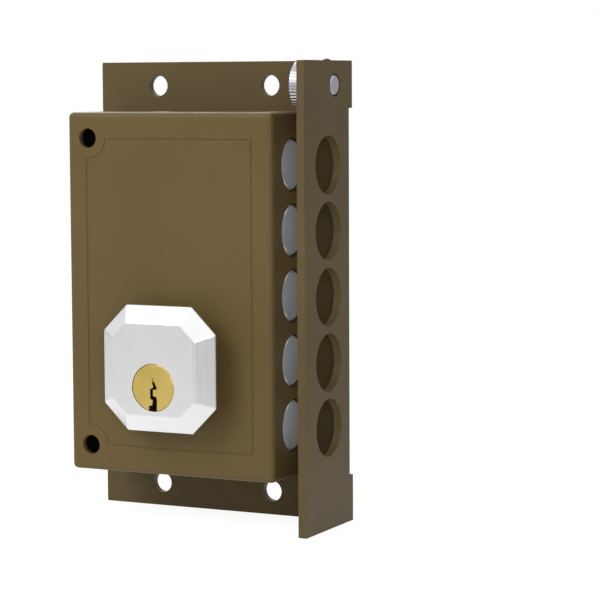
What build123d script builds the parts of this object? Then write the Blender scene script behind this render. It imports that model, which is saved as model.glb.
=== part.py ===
from build123d import *
import math
import os

os.makedirs("parts", exist_ok=True)

# Rim box lock, all lengths in millimetres.
# X runs towards the edge of the door, Y into the door, Z up.
# The origin is the middle of the four door screws, on the face that lies on the door.

# Base plate, with its flange bent towards the room at the door's edge
plate_height = 143.0
plate_width = 87.5
plate_thickness = 2.5
plate_corner = 1.2
flange_overhang = 1.9
flange_face_x = 46.9
bend_radius = 3.0
bend_height = 114.0
door_screw_spacing_x = 39.8
door_screw_inset = 7.5
door_screw_hole = 6.5

# Five round bolts on an even pitch
bolt_count = 5
bolt_end_gap_share = 1.4
bolt_diameter = 15.6
bolt_end_chamfer = 0.8
bolt_axis_depth = 17.3
bolt_flange_hole = 17.8
bolt_cover_play = 0.5
bolt_guide_play = 0.05
bolt_set_back = 0.6

# Box cover
cover_width = 71.3
cover_height = 112.0
cover_depth = 29.4
cover_wall = 2.0
cover_gap = 9.1
cover_corner = 1.6
cover_front_round = 1.7
through_hole = 6.0
through_hole_inset = 7.2
through_hole_end_inset = 8.0
panel_inset_right = 7.1
panel_inset_left = 6.8
panel_inset_top = 8.3
panel_corner_radius = 6.4
panel_line_width = 0.9
panel_line_depth = 0.35
cover_tab_thickness = 2.0
cover_tab_length = 16.0
cover_tab_height = 13.0

# Screws that hold the cover from behind, in dished holes
cover_screw_diameter = 4.0
cover_screw_length = 5.0
cover_screw_head = 6.8
cover_screw_head_height = 1.4
cover_dish = 13.0
cover_dish_floor = 7.6
cover_dish_depth = 1.5
cover_screw_right_inset = 12.9
cover_screw_left_inset = 11.3
cover_screw_upper_z = 23.6
cover_screw_lower_z = -44.1
cover_screw_left_z = 0.0
recess_width = 1.1
recess_depth = 0.9

# Bars that guide the bolts
guide_share = 0.33
guide_bush_gap = 0.5
guide_end_gap_share = 0.68
guide_back_depth = 6.5
guide_rack_notch_play = 0.6

# Bar that joins the bolts' tails
carriage_bar_thickness = 7.0
carriage_bar_end_play = 0.4
carriage_bar_front_play = 0.4
carriage_bar_gap = 3.2
bolt_screw_diameter = 4.0
bolt_screw_length = 14.0
bolt_screw_head = 6.6
bolt_screw_head_height = 2.5
hex_recess = 3.0

# Knob, eight-sided with bevelled front, close to the middle of the cover's width
knob_offset = 0.75
knob_axis_z = -21.8
knob_size = 39.0
knob_corner_cut = 8.2
knob_face_size = 28.5
knob_face_corner_cut = 4.9
knob_bevel_depth = 4.2
knob_band = 0.9
knob_stand = 12.0
knob_edge_round = 0.5
hub_diameter = 27.0
hub_play = 0.06

# Ring in the cover that carries the knob's hub
bush_wall = 1.1
bush_flange_diameter = 33.0
bush_flange_thickness = 2.1
bush_flange_play = 0.2
lock_notch_depth = 2.2
lock_notch_play = 0.15

# Pinion and rack, with equal modules
gear_module = 1.25
pinion_teeth = 12
pressure_angle = 20
tooth_play = 0.08
addendum_share = 1.0
dedendum_share = 1.25
rack_thickness = 2.9
rack_front_play = 0.3
rack_top_depth = 8.2
rack_right_reach = 6.6
pinion_thickness = 2.3
pinion_front_play = 0.3
knob_turn = 180

# Spindle behind the knob
spindle_diameter = 7.0
spindle_square = 4.8
spindle_flange_diameter = 30.4
spindle_flange_thickness = 1.3
spindle_square_play = 0.04
spindle_end_play = 0.1
spindle_clearance = 0.5
spindle_screw_diameter = 2.5
spindle_screw_length = 6.0
spindle_screw_head = 4.2
spindle_screw_head_height = 1.0
spindle_screw_circle = 22.4
spindle_screw_angles = (-10, 35, 145, 190)

# Lock plugs, one in the knob and one in the outer cylinder, on one axis below the knob's
plug_drop = 5.3
plug_diameter = 14.5
plug_play = 0.05
plug_edge = 0.3
keyway_height = 9.8
keyway_width = 2.9
keyway_top = 2.8
keyway_shares = (
    (-0.10, 0.00), (0.14, 0.00), (0.22, 0.12), (0.45, 0.27), (0.45, 0.33),
    (0.02, 0.34), (0.02, 0.54), (0.38, 0.56), (0.50, 0.64), (0.46, 1.05),
    (-0.48, 1.05), (-0.48, 0.86), (-0.08, 0.82), (-0.02, 0.68), (-0.32, 0.62),
    (-0.32, 0.32), (-0.04, 0.30), (0.05, 0.24), (-0.08, 0.14),
)
lock_cam_floor = 0.6
lock_cam_thickness = 2.2
lock_cam_radius = 3.6
lock_cam_lift = 2.0
lock_cam_turn = 90
lock_cam_play = 0.25
lock_cam_steps = 8
lock_cam_dwell_share = 0.25
lock_pin_diameter = 1.6
lock_pin_play = 0.05
lock_pin_round = 0.6
lock_pin_set_back = 0.2

# Pin stacks
pin_play = 0.06
shear_gap = 0.12
pin_chamfer = 0.3
inner_pin_count = 4
inner_pin_pitch = 3.1
inner_pin_first = 2.1
inner_pin_diameter = 2.5
inner_key_pin_length = 5.6
inner_driver_length = 3.6
inner_chamber_height = 9.0
outer_pin_count = 6
outer_pin_pitch = 4.4
outer_pin_first = 5.0
outer_pin_diameter = 2.9
outer_key_pin_length = 5.8
outer_driver_length = 4.4
outer_chamber_plug_length = 2.0
spring_wall = 0.4
key_pin_step_share = 0.14

# Outer cylinder behind the plate
cylinder_diameter = 17.0
cylinder_fin_width = 7.5
cylinder_fin_height = 21.2
cylinder_projection = 56.0
cylinder_neck_end = 18.0
cylinder_edge = 0.5
disc_diameter = 29.2
disc_thickness = 2.4
disc_rise = 4.0
collar_rim = 1.3
collar_rim_height = 1.4
plate_opening = 17.8
plate_slot_width = 10.0
plate_slot_offset = 2.6
plate_slot_rise = 8.9
lug_width = 7.5
lug_offset = 1.5
lug_top_drop = 4.6
lug_length = 7.6
lug_step = 1.0
lug_step_height = 2.4
neck_slit_width = 0.7
neck_slit_height = 5.0
neck_slit_depth = 1.2
neck_slit_drop = 6.5
cylinder_bolt_diameter = 3.0
cylinder_bolt_rise = 13.5
cylinder_bolt_head = 4.6
cylinder_bolt_head_height = 1.6
cylinder_bolt_reach = 4.5
fixing_screw_spacing = 23.0
fixing_screw_diameter = 3.0
fixing_screw_head = 5.2
fixing_screw_head_height = 1.3
fixing_screw_length = 4.4
screw_play = 0.05

# Outer key's cam and the talons that it pushes
cam_tail_diameter = 8.0
cam_tail_start = 1.5
cam_thickness = 2.1
cam_reach = 12.0
cam_width = 4.0
cam_hub_diameter = 9.0
cam_plate_play = 0.8
cam_screw_diameter = 3.0
cam_screw_length = 8.0
cam_screw_head = 5.4
cam_screw_head_height = 1.2
talon_play = 0.5
talon_thickness = 3.0
talon_bar_height = 5.6
talon_key_turns = 2
talon_rivet_diameter = 2.0
talon_rivet_count = 3
rack_screw_diameter = 2.0
rack_screw_head = 3.6
rack_screw_head_height = 0.9
rack_screw_length = 8.0
rack_screw_spacing = 4.0

# Sleeves round the door screws that go through the cover
sleeve_wall = 1.2

# Knurled thumb screw beside the flange
thumb_cover_play = 0.25
thumb_axis_depth = 12.3
thumb_diameter = 15.6
thumb_length = 8.3
thumb_rib_count = 48
thumb_rib_depth = 0.35
thumb_pin_diameter = 6.0
thumb_pin_hole = 7.0
thumb_washer_diameter = 16.0
thumb_washer_thickness = 1.0
thumb_washer_play = 0.1
thumb_face_recess = 0.6

# Cuts run past the faces that they open
overrun = 0.5

# Places worked out from the sizes above
door_screw_spacing_z = plate_height - 2 * door_screw_inset
flange_depth = plate_thickness + cover_depth + flange_overhang
plate_left_x = flange_face_x - plate_width
flange_inner_x = flange_face_x - plate_thickness
cover_right_x = flange_inner_x - cover_gap
cover_left_x = cover_right_x - cover_width
cover_middle_x = (cover_left_x + cover_right_x) / 2
cover_front_y = -plate_thickness - cover_depth
cover_inner_front_y = cover_front_y + cover_wall
cover_inner_right_x = cover_right_x - cover_wall
cover_inner_left_x = cover_left_x + cover_wall
bolt_radius = bolt_diameter / 2
bolt_axis_y = -bolt_axis_depth
bolt_end_x = cover_right_x - bolt_set_back
carriage_bar_x = cover_inner_left_x + carriage_bar_gap
bolt_tail_x = carriage_bar_x + carriage_bar_thickness
bolt_length = bolt_end_x - bolt_tail_x
bolt_room = cover_height - 2 * cover_wall - bolt_count * bolt_diameter
bolt_gap = bolt_room / (bolt_count - 1 + 2 * bolt_end_gap_share)
bolt_pitch = bolt_diameter + bolt_gap
bolt_heights = [bolt_pitch * (i - (bolt_count - 1) / 2) for i in range(bolt_count)]
knob_x = cover_middle_x + knob_offset
plug_z = knob_axis_z - plug_drop
knob_face_y = cover_front_y - knob_stand
knob_bevel_y = knob_face_y + knob_bevel_depth
knob_back_y = knob_bevel_y + knob_band
hub_radius = hub_diameter / 2
pitch_radius = gear_module * pinion_teeth / 2
addendum = gear_module * addendum_share
dedendum = gear_module * dedendum_share
throw = pitch_radius * math.radians(knob_turn)
rack_pitch_z = knob_axis_z + pitch_radius
rack_front_y = bolt_axis_y + bolt_radius + rack_front_play
rack_back_y = rack_front_y + rack_thickness
rack_root_z = rack_pitch_z + dedendum
rack_top_z = rack_root_z + rack_top_depth
rack_left_x = carriage_bar_x
rack_right_x = knob_x + rack_right_reach
pinion_front_y = rack_front_y + pinion_front_play
pinion_back_y = pinion_front_y + pinion_thickness
bush_back_y = cover_inner_front_y + bush_flange_thickness
hub_back_y = bush_back_y + bush_flange_play
through_hole_x = cover_left_x + through_hole_inset
through_hole_spacing = cover_height - 2 * through_hole_end_inset
middle_guide_x = knob_x + bush_flange_diameter / 2 + guide_bush_gap
guide_thickness = (cover_inner_right_x - middle_guide_x) * guide_share
front_guide_x = cover_inner_right_x - guide_thickness
cover_screw_right_x = cover_right_x - cover_screw_right_inset
cover_screw_left_x = cover_left_x + cover_screw_left_inset
guide_height = cover_height - 2 * cover_wall - 2 * bolt_gap * guide_end_gap_share
carriage_bar_height = through_hole_spacing - through_hole - 2 * sleeve_wall - 2 * carriage_bar_end_play
lock_cam_back_y = hub_back_y - lock_cam_floor
inner_plug_back_y = lock_cam_back_y - lock_cam_thickness
lock_pin_y = cover_inner_front_y + lock_pin_diameter / 2 + lock_notch_play
cam_back_y = -plate_thickness - cam_plate_play
cam_front_y = cam_back_y - cam_thickness
talon_pitch = throw / talon_key_turns
talon_half_angle = math.asin(talon_pitch / 2 / cam_reach)
talon_tip_z = plug_z + cam_reach * math.cos(talon_half_angle)
talon_width = talon_pitch - cam_width - 2 * talon_play
cylinder_radius = cylinder_diameter / 2
fin_top_z = plug_z + cylinder_fin_height
plate_slot_top_z = fin_top_z + plate_slot_rise
disc_z = plug_z + disc_rise
thumb_left_x = flange_inner_x - thumb_washer_thickness - thumb_washer_play - thumb_length
thumb_axis_z = cover_height / 2 + thumb_diameter / 2 + thumb_cover_play


def along_y(x, z, y_front, y_back, radius, mode=Mode.ADD):
    """Round bar or hole that runs along Y from y_front to y_back."""
    with BuildSketch(Plane.XZ.offset(-y_back)) as section:
        with Locations((x, z)):
            Circle(radius)
    extrude(section.sketch, amount=y_back - y_front, mode=mode)


def along_x(y, z, x_low, x_high, radius, mode=Mode.ADD):
    """Round bar or hole that runs along X from x_low to x_high."""
    with BuildSketch(Plane.YZ.offset(x_low)) as section:
        with Locations((y, z)):
            Circle(radius)
    extrude(section.sketch, amount=x_high - x_low, mode=mode)


def along_z(x, y, z_low, z_high, radius, mode=Mode.ADD):
    """Round bar or hole that runs along Z from z_low to z_high."""
    with BuildSketch(Plane.XY.offset(z_low)) as section:
        with Locations((x, y)):
            Circle(radius)
    extrude(section.sketch, amount=z_high - z_low, mode=mode)


def block(x_low, x_high, y_front, y_back, z_low, z_high, mode=Mode.ADD):
    """Square-cornered block between six faces."""
    with BuildSketch(Plane.XZ.offset(-y_back)) as section:
        with Locations(((x_low + x_high) / 2, (z_low + z_high) / 2)):
            Rectangle(x_high - x_low, z_high - z_low)
    extrude(section.sketch, amount=y_back - y_front, mode=mode)


def cone_along_y(x, z, y_small, y_large, radius_small, radius_large, mode=Mode.ADD):
    """Tapered bar or hole along Y, with its wide end at y_large."""
    with BuildSketch(Plane.XZ.offset(-y_small)) as small_end:
        with Locations((x, z)):
            Circle(radius_small)
    with BuildSketch(Plane.XZ.offset(-y_large)) as large_end:
        with Locations((x, z)):
            Circle(radius_large)
    loft([small_end.sketch, large_end.sketch], mode=mode)


def cut_square(x, z, size, corner_cut):
    """Square outline with its four corners cut off, in a sketch on an XZ plane."""
    half = size / 2
    inner = half - corner_cut
    with BuildLine() as outline:
        Polyline(
            (x - inner, z + half), (x + inner, z + half), (x + half, z + inner), (x + half, z - inner),
            (x + inner, z - half), (x - inner, z - half), (x - half, z - inner), (x - half, z + inner),
            close=True,
        )
    make_face(outline.line)


def cylinder_outline(grow=0.0):
    """Round outline with a fin on top, as the outer cylinder has, in a sketch on an XZ plane."""
    with Locations((knob_x, plug_z)):
        Circle(cylinder_radius + grow)
    with Locations((knob_x, plug_z + (cylinder_fin_height + grow) / 2)):
        Rectangle(cylinder_fin_width + 2 * grow, cylinder_fin_height + grow)


def keyway_cut(y_front, y_back, facing):
    """Warded slot through a plug, seen from the side that facing points to."""
    with BuildSketch(Plane.XZ.offset(-y_back)) as section:
        with BuildLine():
            Polyline(
                [
                    (knob_x + facing * keyway_width * across, plug_z + keyway_top - keyway_height * down)
                    for across, down in keyway_shares
                ],
                close=True,
            )
        make_face()
    extrude(section.sketch, amount=y_back - y_front, mode=Mode.SUBTRACT)


def screw_along_y(x, z, head_y, direction, diameter, length, head, head_height):
    """Countersunk screw whose flat head face is at head_y and whose shank runs in the given direction."""
    neck_y = head_y + direction * head_height
    tip_y = head_y + direction * length
    cone_along_y(x, z, neck_y, head_y, diameter / 2, head / 2)
    along_y(x, z, min(neck_y, tip_y), max(neck_y, tip_y), diameter / 2)


def screw_seat_along_y(x, z, head_y, direction, diameter, depth, head, head_height):
    """Hole and countersink for a screw made by screw_along_y, with play all round."""
    neck_y = head_y + direction * head_height
    tip_y = head_y + direction * depth
    cone_along_y(
        x, z, neck_y, head_y, diameter / 2 + screw_play, head / 2 + screw_play, mode=Mode.SUBTRACT
    )
    along_y(
        x, z, min(head_y, tip_y), max(head_y, tip_y), diameter / 2 + screw_play, mode=Mode.SUBTRACT
    )


def plate_section(rounded):
    """Section of the plate and its flange across Z."""
    with BuildLine() as outline:
        Polyline(
            (plate_left_x, 0), (flange_face_x, 0), (flange_face_x, -flange_depth),
            (flange_inner_x, -flange_depth), (flange_inner_x, -plate_thickness),
            (plate_left_x, -plate_thickness),
            close=True,
        )
    make_face(outline.line)
    if rounded:
        corners = vertices().sort_by(lambda v: abs(v.X - flange_face_x) + abs(v.Y))
        fillet(corners[0], radius=bend_radius)
        inner = vertices().sort_by(lambda v: abs(v.X - flange_inner_x) + abs(v.Y + plate_thickness))
        fillet(inner[0], radius=bend_radius - plate_thickness)


# Base plate
cover_screw_places = (
    (cover_screw_right_x, cover_screw_upper_z),
    (cover_screw_right_x, cover_screw_lower_z),
    (cover_screw_left_x, cover_screw_left_z),
)
through_places = [(through_hole_x, s * through_hole_spacing / 2) for s in (1, -1)]
fixing_places = [(knob_x + s * fixing_screw_spacing / 2, disc_z) for s in (1, -1)]

with BuildPart() as base_plate:
    with BuildSketch(Plane.XY.offset(-bend_height / 2)):
        plate_section(True)
    extrude(amount=bend_height)
    end_height = (plate_height - bend_height) / 2
    for z_low in (-plate_height / 2, bend_height / 2):
        with BuildSketch(Plane.XY.offset(z_low)):
            plate_section(False)
        extrude(amount=end_height)
    fillet(edges().filter_by(Axis.Y).group_by(Axis.X)[0], radius=plate_corner)
    fillet(edges().filter_by(Axis.X).group_by(Axis.Y)[0], radius=plate_corner)
    for place_x in (-door_screw_spacing_x / 2, door_screw_spacing_x / 2):
        for place_z in (-door_screw_spacing_z / 2, door_screw_spacing_z / 2):
            along_y(
                place_x, place_z, -plate_thickness - overrun, overrun, door_screw_hole / 2, Mode.SUBTRACT
            )
    for place_x, place_z in through_places:
        along_y(place_x, place_z, -plate_thickness - overrun, overrun, through_hole / 2, Mode.SUBTRACT)
    for place_x, place_z in cover_screw_places:
        cone_along_y(
            place_x, place_z, -cover_dish_depth, 0, cover_dish_floor / 2, cover_dish / 2, Mode.SUBTRACT
        )
        along_y(
            place_x, place_z, -plate_thickness - overrun, 0,
            cover_screw_diameter / 2 + screw_play, Mode.SUBTRACT,
        )
    for height in bolt_heights:
        along_x(
            bolt_axis_y, height, flange_inner_x - overrun, flange_face_x + overrun,
            bolt_flange_hole / 2, Mode.SUBTRACT,
        )
    along_x(
        -thumb_axis_depth, thumb_axis_z, flange_inner_x - overrun, flange_face_x + overrun,
        thumb_pin_hole / 2, Mode.SUBTRACT,
    )
    along_y(knob_x, plug_z, -plate_thickness - overrun, overrun, plate_opening / 2, Mode.SUBTRACT)
    slot_x = knob_x - plate_slot_offset
    slot_end_z = plate_slot_top_z - plate_slot_width / 2
    block(
        slot_x - plate_slot_width / 2, slot_x + plate_slot_width / 2,
        -plate_thickness - overrun, overrun, plug_z, slot_end_z, Mode.SUBTRACT,
    )
    along_y(
        slot_x, slot_end_z, -plate_thickness - overrun, overrun, plate_slot_width / 2, Mode.SUBTRACT
    )
    for place_x, place_z in fixing_places:
        screw_seat_along_y(
            place_x, place_z, -plate_thickness, 1, fixing_screw_diameter,
            plate_thickness + overrun, fixing_screw_head, fixing_screw_head_height,
        )
base_plate.part.label = "base_plate"
export_step(base_plate.part, "parts/base_plate.step")

# Cover
with BuildPart() as cover:
    with BuildSketch(Plane.XZ.offset(plate_thickness)):
        with Locations((cover_middle_x, 0)):
            Rectangle(cover_width, cover_height)
    extrude(amount=cover_depth)
    fillet(edges().filter_by(Axis.Y), radius=cover_corner)
    fillet(edges().group_by(Axis.Y)[0], radius=cover_front_round)
    with BuildSketch(Plane.XZ.offset(plate_thickness)):
        with Locations((cover_middle_x, 0)):
            Rectangle(cover_width - 2 * cover_wall, cover_height - 2 * cover_wall)
    extrude(amount=cover_depth - cover_wall, mode=Mode.SUBTRACT)
    tab_back_y = -plate_thickness
    tab_front_y = tab_back_y - cover_tab_thickness
    for place_z in (cover_screw_upper_z, cover_screw_lower_z):
        block(
            cover_inner_right_x - cover_tab_length - cover_wall, cover_inner_right_x + cover_wall / 2,
            tab_front_y, tab_back_y, place_z - cover_tab_height / 2, place_z + cover_tab_height / 2,
        )
    left_tab_low_z = rack_top_z + talon_play
    left_tab_high_z = left_tab_low_z + cover_tab_height
    block(
        cover_inner_left_x - cover_wall / 2, cover_inner_left_x + cover_tab_length,
        tab_front_y, tab_back_y, left_tab_low_z, left_tab_high_z,
    )
    for place_x, place_z in cover_screw_places:
        along_y(
            place_x, place_z, tab_front_y - overrun, tab_back_y + overrun,
            cover_screw_diameter / 2 + screw_play, Mode.SUBTRACT,
        )
    for height in bolt_heights:
        along_x(
            bolt_axis_y, height, cover_inner_right_x - overrun, cover_right_x + overrun,
            bolt_radius + bolt_cover_play, Mode.SUBTRACT,
        )
    for place_x, place_z in through_places:
        along_y(
            place_x, place_z, cover_front_y - overrun, cover_inner_front_y + overrun,
            through_hole / 2, Mode.SUBTRACT,
        )
    along_y(
        knob_x, knob_axis_z, cover_front_y - overrun, cover_inner_front_y + overrun,
        hub_radius + hub_play + bush_wall, Mode.SUBTRACT,
    )
    panel_left_x = cover_left_x + panel_inset_left
    panel_right_x = cover_right_x - panel_inset_right
    panel_top_z = cover_height / 2 - panel_inset_top
    with BuildSketch(Plane.XZ.offset(-cover_front_y)):
        for grow in (0, -panel_line_width):
            left = panel_left_x - grow
            right = panel_right_x + grow
            top = panel_top_z + grow
            bite = panel_corner_radius - grow
            with BuildLine():
                upper = (through_hole_x, through_hole_spacing / 2)
                dip = math.sqrt(bite**2 - (upper[0] - left) ** 2)
                lean = math.sqrt(bite**2 - (upper[1] - top) ** 2)
                Line((upper[0] + lean, top), (right, top))
                Line((right, top), (right, -top))
                Line((right, -top), (upper[0] + lean, -top))
                RadiusArc((upper[0] + lean, -top), (left, -upper[1] + dip), bite)
                Line((left, -upper[1] + dip), (left, upper[1] - dip))
                RadiusArc((left, upper[1] - dip), (upper[0] + lean, top), bite)
            make_face(mode=Mode.ADD if grow == 0 else Mode.SUBTRACT)
    extrude(amount=-panel_line_depth, mode=Mode.SUBTRACT)
cover.part.label = "cover"
export_step(cover.part, "parts/cover.step")

# Screws that hold the cover, pan heads sunk in the plate's dishes
with BuildPart() as cover_screws:
    for place_x, place_z in cover_screw_places:
        head_front_y = -cover_dish_depth
        head_back_y = head_front_y + cover_screw_head_height
        along_y(place_x, place_z, head_front_y, head_back_y, cover_screw_head / 2)
        along_y(
            place_x, place_z, head_front_y - cover_screw_length + cover_screw_head_height,
            head_front_y, cover_screw_diameter / 2,
        )
        for wide, tall in ((cover_screw_diameter, recess_width), (recess_width, cover_screw_diameter)):
            block(
                place_x - wide / 2, place_x + wide / 2, head_back_y - recess_depth, head_back_y + overrun,
                place_z - tall / 2, place_z + tall / 2, Mode.SUBTRACT,
            )
cover_screws.part.label = "cover_screws"
export_step(cover_screws.part, "parts/cover_screws.step")

# Sleeves round the door screws that go through the cover
with BuildPart() as door_screw_sleeves:
    for place_x, place_z in through_places:
        along_y(
            place_x, place_z, cover_inner_front_y, -plate_thickness, through_hole / 2 + sleeve_wall
        )
        along_y(
            place_x, place_z, cover_inner_front_y - overrun, -plate_thickness + overrun,
            through_hole / 2, Mode.SUBTRACT,
        )
door_screw_sleeves.part.label = "door_screw_sleeves"
export_step(door_screw_sleeves.part, "parts/door_screw_sleeves.step")


def guide_bar(x_low):
    """Bar with a hole for each bolt, open at its back where the rack passes."""
    block(
        x_low, x_low + guide_thickness, cover_inner_front_y, -guide_back_depth,
        -guide_height / 2, guide_height / 2,
    )
    for height in bolt_heights:
        along_x(
            bolt_axis_y, height, x_low - overrun, x_low + guide_thickness + overrun,
            bolt_radius + bolt_guide_play, Mode.SUBTRACT,
        )
    block(
        x_low - overrun, x_low + guide_thickness + overrun,
        rack_front_y - guide_rack_notch_play, -guide_back_depth + overrun,
        rack_pitch_z - addendum - guide_rack_notch_play, rack_top_z + guide_rack_notch_play,
        Mode.SUBTRACT,
    )


# Guide bars
with BuildPart() as front_guide:
    guide_bar(front_guide_x)
front_guide.part.label = "front_guide"
export_step(front_guide.part, "parts/front_guide.step")

with BuildPart() as middle_guide:
    guide_bar(middle_guide_x)
middle_guide.part.label = "middle_guide"
export_step(middle_guide.part, "parts/middle_guide.step")

spindle_reach = spindle_diameter / 2 + spindle_clearance


def spindle_side(height):
    """Which side of the spindle a bolt keeps, 1 above, -1 below, or 0 where it passes clear of it."""
    if abs(height - knob_axis_z) >= bolt_radius + spindle_reach:
        return 0
    return 1 if height > knob_axis_z else -1


def screw_height(height):
    """Height of a bolt's tail screw, in the middle of what the spindle's notch leaves."""
    side = spindle_side(height)
    if side == 0:
        return height
    return (knob_axis_z + side * spindle_reach + height + side * bolt_radius) / 2


# Bolts, the one beside the spindle cut away along its tail
for number, height in enumerate(bolt_heights, start=1):
    with BuildPart() as bolt:
        along_x(bolt_axis_y, height, bolt_tail_x, bolt_end_x, bolt_radius)
        chamfer(edges().group_by(Axis.X)[-1], length=bolt_end_chamfer)
        along_x(
            bolt_axis_y, screw_height(height), bolt_tail_x - overrun,
            bolt_tail_x + bolt_screw_length - carriage_bar_thickness + overrun,
            bolt_screw_diameter / 2 + screw_play, Mode.SUBTRACT,
        )
        side = spindle_side(height)
        if side != 0:
            cut_faces = (height - side * bolt_diameter, knob_axis_z + side * spindle_reach)
            block(
                bolt_tail_x - overrun, knob_x + spindle_reach,
                bolt_axis_y - bolt_diameter, bolt_axis_y + bolt_diameter,
                min(cut_faces), max(cut_faces), Mode.SUBTRACT,
            )
    bolt.part.label = "bolt_" + str(number)
    export_step(bolt.part, "parts/bolt_" + str(number) + ".step")

# Bar that joins the bolts' tails
screw_heights = [screw_height(height) for height in bolt_heights]
bar_front_y = bolt_axis_y - bolt_radius + carriage_bar_front_play
rack_screw_places = [
    (carriage_bar_x + rack_screw_head, (rack_root_z + rack_top_z) / 2 + s * rack_screw_spacing / 2)
    for s in (1, -1)
]
with BuildPart() as carriage_bar:
    block(
        carriage_bar_x, bolt_tail_x, bar_front_y, rack_front_y,
        -carriage_bar_height / 2, carriage_bar_height / 2,
    )
    for height in screw_heights:
        along_x(
            bolt_axis_y, height, carriage_bar_x - overrun, bolt_tail_x + overrun,
            bolt_screw_diameter / 2 + screw_play, Mode.SUBTRACT,
        )
        along_x(
            bolt_axis_y, height, carriage_bar_x - overrun, carriage_bar_x + bolt_screw_head_height,
            bolt_screw_head / 2 + screw_play, Mode.SUBTRACT,
        )
    along_y(
        knob_x - throw, knob_axis_z, bar_front_y - overrun, rack_front_y + overrun,
        spindle_reach, Mode.SUBTRACT,
    )
    for place_x, place_z in rack_screw_places:
        along_y(
            place_x, place_z, rack_front_y - rack_screw_length + rack_thickness - overrun,
            rack_front_y + overrun, rack_screw_diameter / 2 + screw_play, Mode.SUBTRACT,
        )
carriage_bar.part.label = "carriage_bar"
export_step(carriage_bar.part, "parts/carriage_bar.step")

# Screws that hold the bolts' tails, cap heads sunk in the bar
with BuildPart() as bolt_screws:
    for height in screw_heights:
        along_x(
            bolt_axis_y, height, carriage_bar_x, carriage_bar_x + bolt_screw_head_height,
            bolt_screw_head / 2,
        )
        along_x(
            bolt_axis_y, height, carriage_bar_x + bolt_screw_head_height,
            carriage_bar_x + bolt_screw_length, bolt_screw_diameter / 2,
        )
        with BuildSketch(Plane.YZ.offset(carriage_bar_x)):
            with Locations((bolt_axis_y, height)):
                RegularPolygon(hex_recess / 2, 6)
        extrude(amount=bolt_screw_head_height / 2, mode=Mode.SUBTRACT)
bolt_screws.part.label = "bolt_screws"
export_step(bolt_screws.part, "parts/bolt_screws.step")

# Rack, teeth down, in mesh with the pinion below
tooth_pitch = math.pi * gear_module
tooth_lean = math.tan(math.radians(pressure_angle))
tooth_half = tooth_pitch / 4 - tooth_play / 2
tip_half = tooth_half - addendum * tooth_lean
root_half = tooth_half + dedendum * tooth_lean
with BuildPart() as rack:
    block(rack_left_x, rack_right_x, rack_front_y, rack_back_y, rack_root_z, rack_top_z)
    first_tooth = math.ceil((rack_left_x - knob_x + carriage_bar_thickness + root_half) / tooth_pitch)
    last_tooth = math.floor((rack_right_x - knob_x - root_half) / tooth_pitch)
    with BuildSketch(Plane.XZ.offset(-rack_back_y)):
        for tooth in range(first_tooth, last_tooth + 1):
            middle = knob_x + tooth * tooth_pitch
            with BuildLine():
                Polyline(
                    (middle - root_half, rack_root_z), (middle - tip_half, rack_pitch_z - addendum),
                    (middle + tip_half, rack_pitch_z - addendum), (middle + root_half, rack_root_z),
                    close=True,
                )
            make_face()
    extrude(amount=rack_thickness)
    for place_x, place_z in rack_screw_places:
        screw_seat_along_y(
            place_x, place_z, rack_back_y, -1, rack_screw_diameter,
            rack_thickness + overrun, rack_screw_head, rack_screw_head_height,
        )
    talon_bar_z = rack_root_z + rack_top_depth / 2
    talon_left_x = knob_x - throw - talon_width / 2
    talon_right_x = knob_x + talon_width / 2
    rivet_pitch = (talon_right_x - talon_left_x) / talon_rivet_count
    rivet_places = [
        (talon_left_x + rivet_pitch * (i + 1) - rivet_pitch / 2, talon_bar_z)
        for i in range(talon_rivet_count)
    ]
    for place_x, place_z in rivet_places:
        along_y(
            place_x, place_z, rack_front_y - overrun, rack_back_y + overrun,
            talon_rivet_diameter / 2 + screw_play, Mode.SUBTRACT,
        )
rack.part.label = "rack"
export_step(rack.part, "parts/rack.step")

# Screws that hold the rack on the bar
with BuildPart() as rack_screws:
    for place_x, place_z in rack_screw_places:
        screw_along_y(
            place_x, place_z, rack_back_y, -1, rack_screw_diameter, rack_screw_length,
            rack_screw_head, rack_screw_head_height,
        )
rack_screws.part.label = "rack_screws"
export_step(rack_screws.part, "parts/rack_screws.step")

# Talons behind the rack, one more than the key has turns
with BuildPart() as talon_plate:
    block(
        talon_left_x, talon_right_x, rack_back_y, rack_back_y + talon_thickness,
        talon_bar_z - talon_bar_height / 2, talon_bar_z + talon_bar_height / 2,
    )
    for turn in range(talon_key_turns + 1):
        middle = knob_x - turn * talon_pitch
        block(
            middle - talon_width / 2, middle + talon_width / 2, rack_back_y,
            rack_back_y + talon_thickness, talon_tip_z, talon_bar_z,
        )
    for place_x, place_z in rivet_places:
        along_y(
            place_x, place_z, rack_back_y - overrun, rack_back_y + talon_thickness + overrun,
            talon_rivet_diameter / 2 + screw_play, Mode.SUBTRACT,
        )
talon_plate.part.label = "talon_plate"
export_step(talon_plate.part, "parts/talon_plate.step")

# Rivets that hold the talons on the rack, dressed flush
with BuildPart() as talon_rivets:
    for place_x, place_z in rivet_places:
        along_y(
            place_x, place_z, rack_front_y, rack_back_y + talon_thickness, talon_rivet_diameter / 2
        )
talon_rivets.part.label = "talon_rivets"
export_step(talon_rivets.part, "parts/talon_rivets.step")

# Pinion with involute teeth, one space straight up to take the rack's tooth at rest
base_radius = pitch_radius * math.cos(math.radians(pressure_angle))
tip_radius = pitch_radius + addendum
root_radius = pitch_radius - dedendum
flank_steps = 5


def involute(angle):
    """Angle between a flank's start on the base circle and its point at this roll angle."""
    return math.tan(angle) - angle


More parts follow.
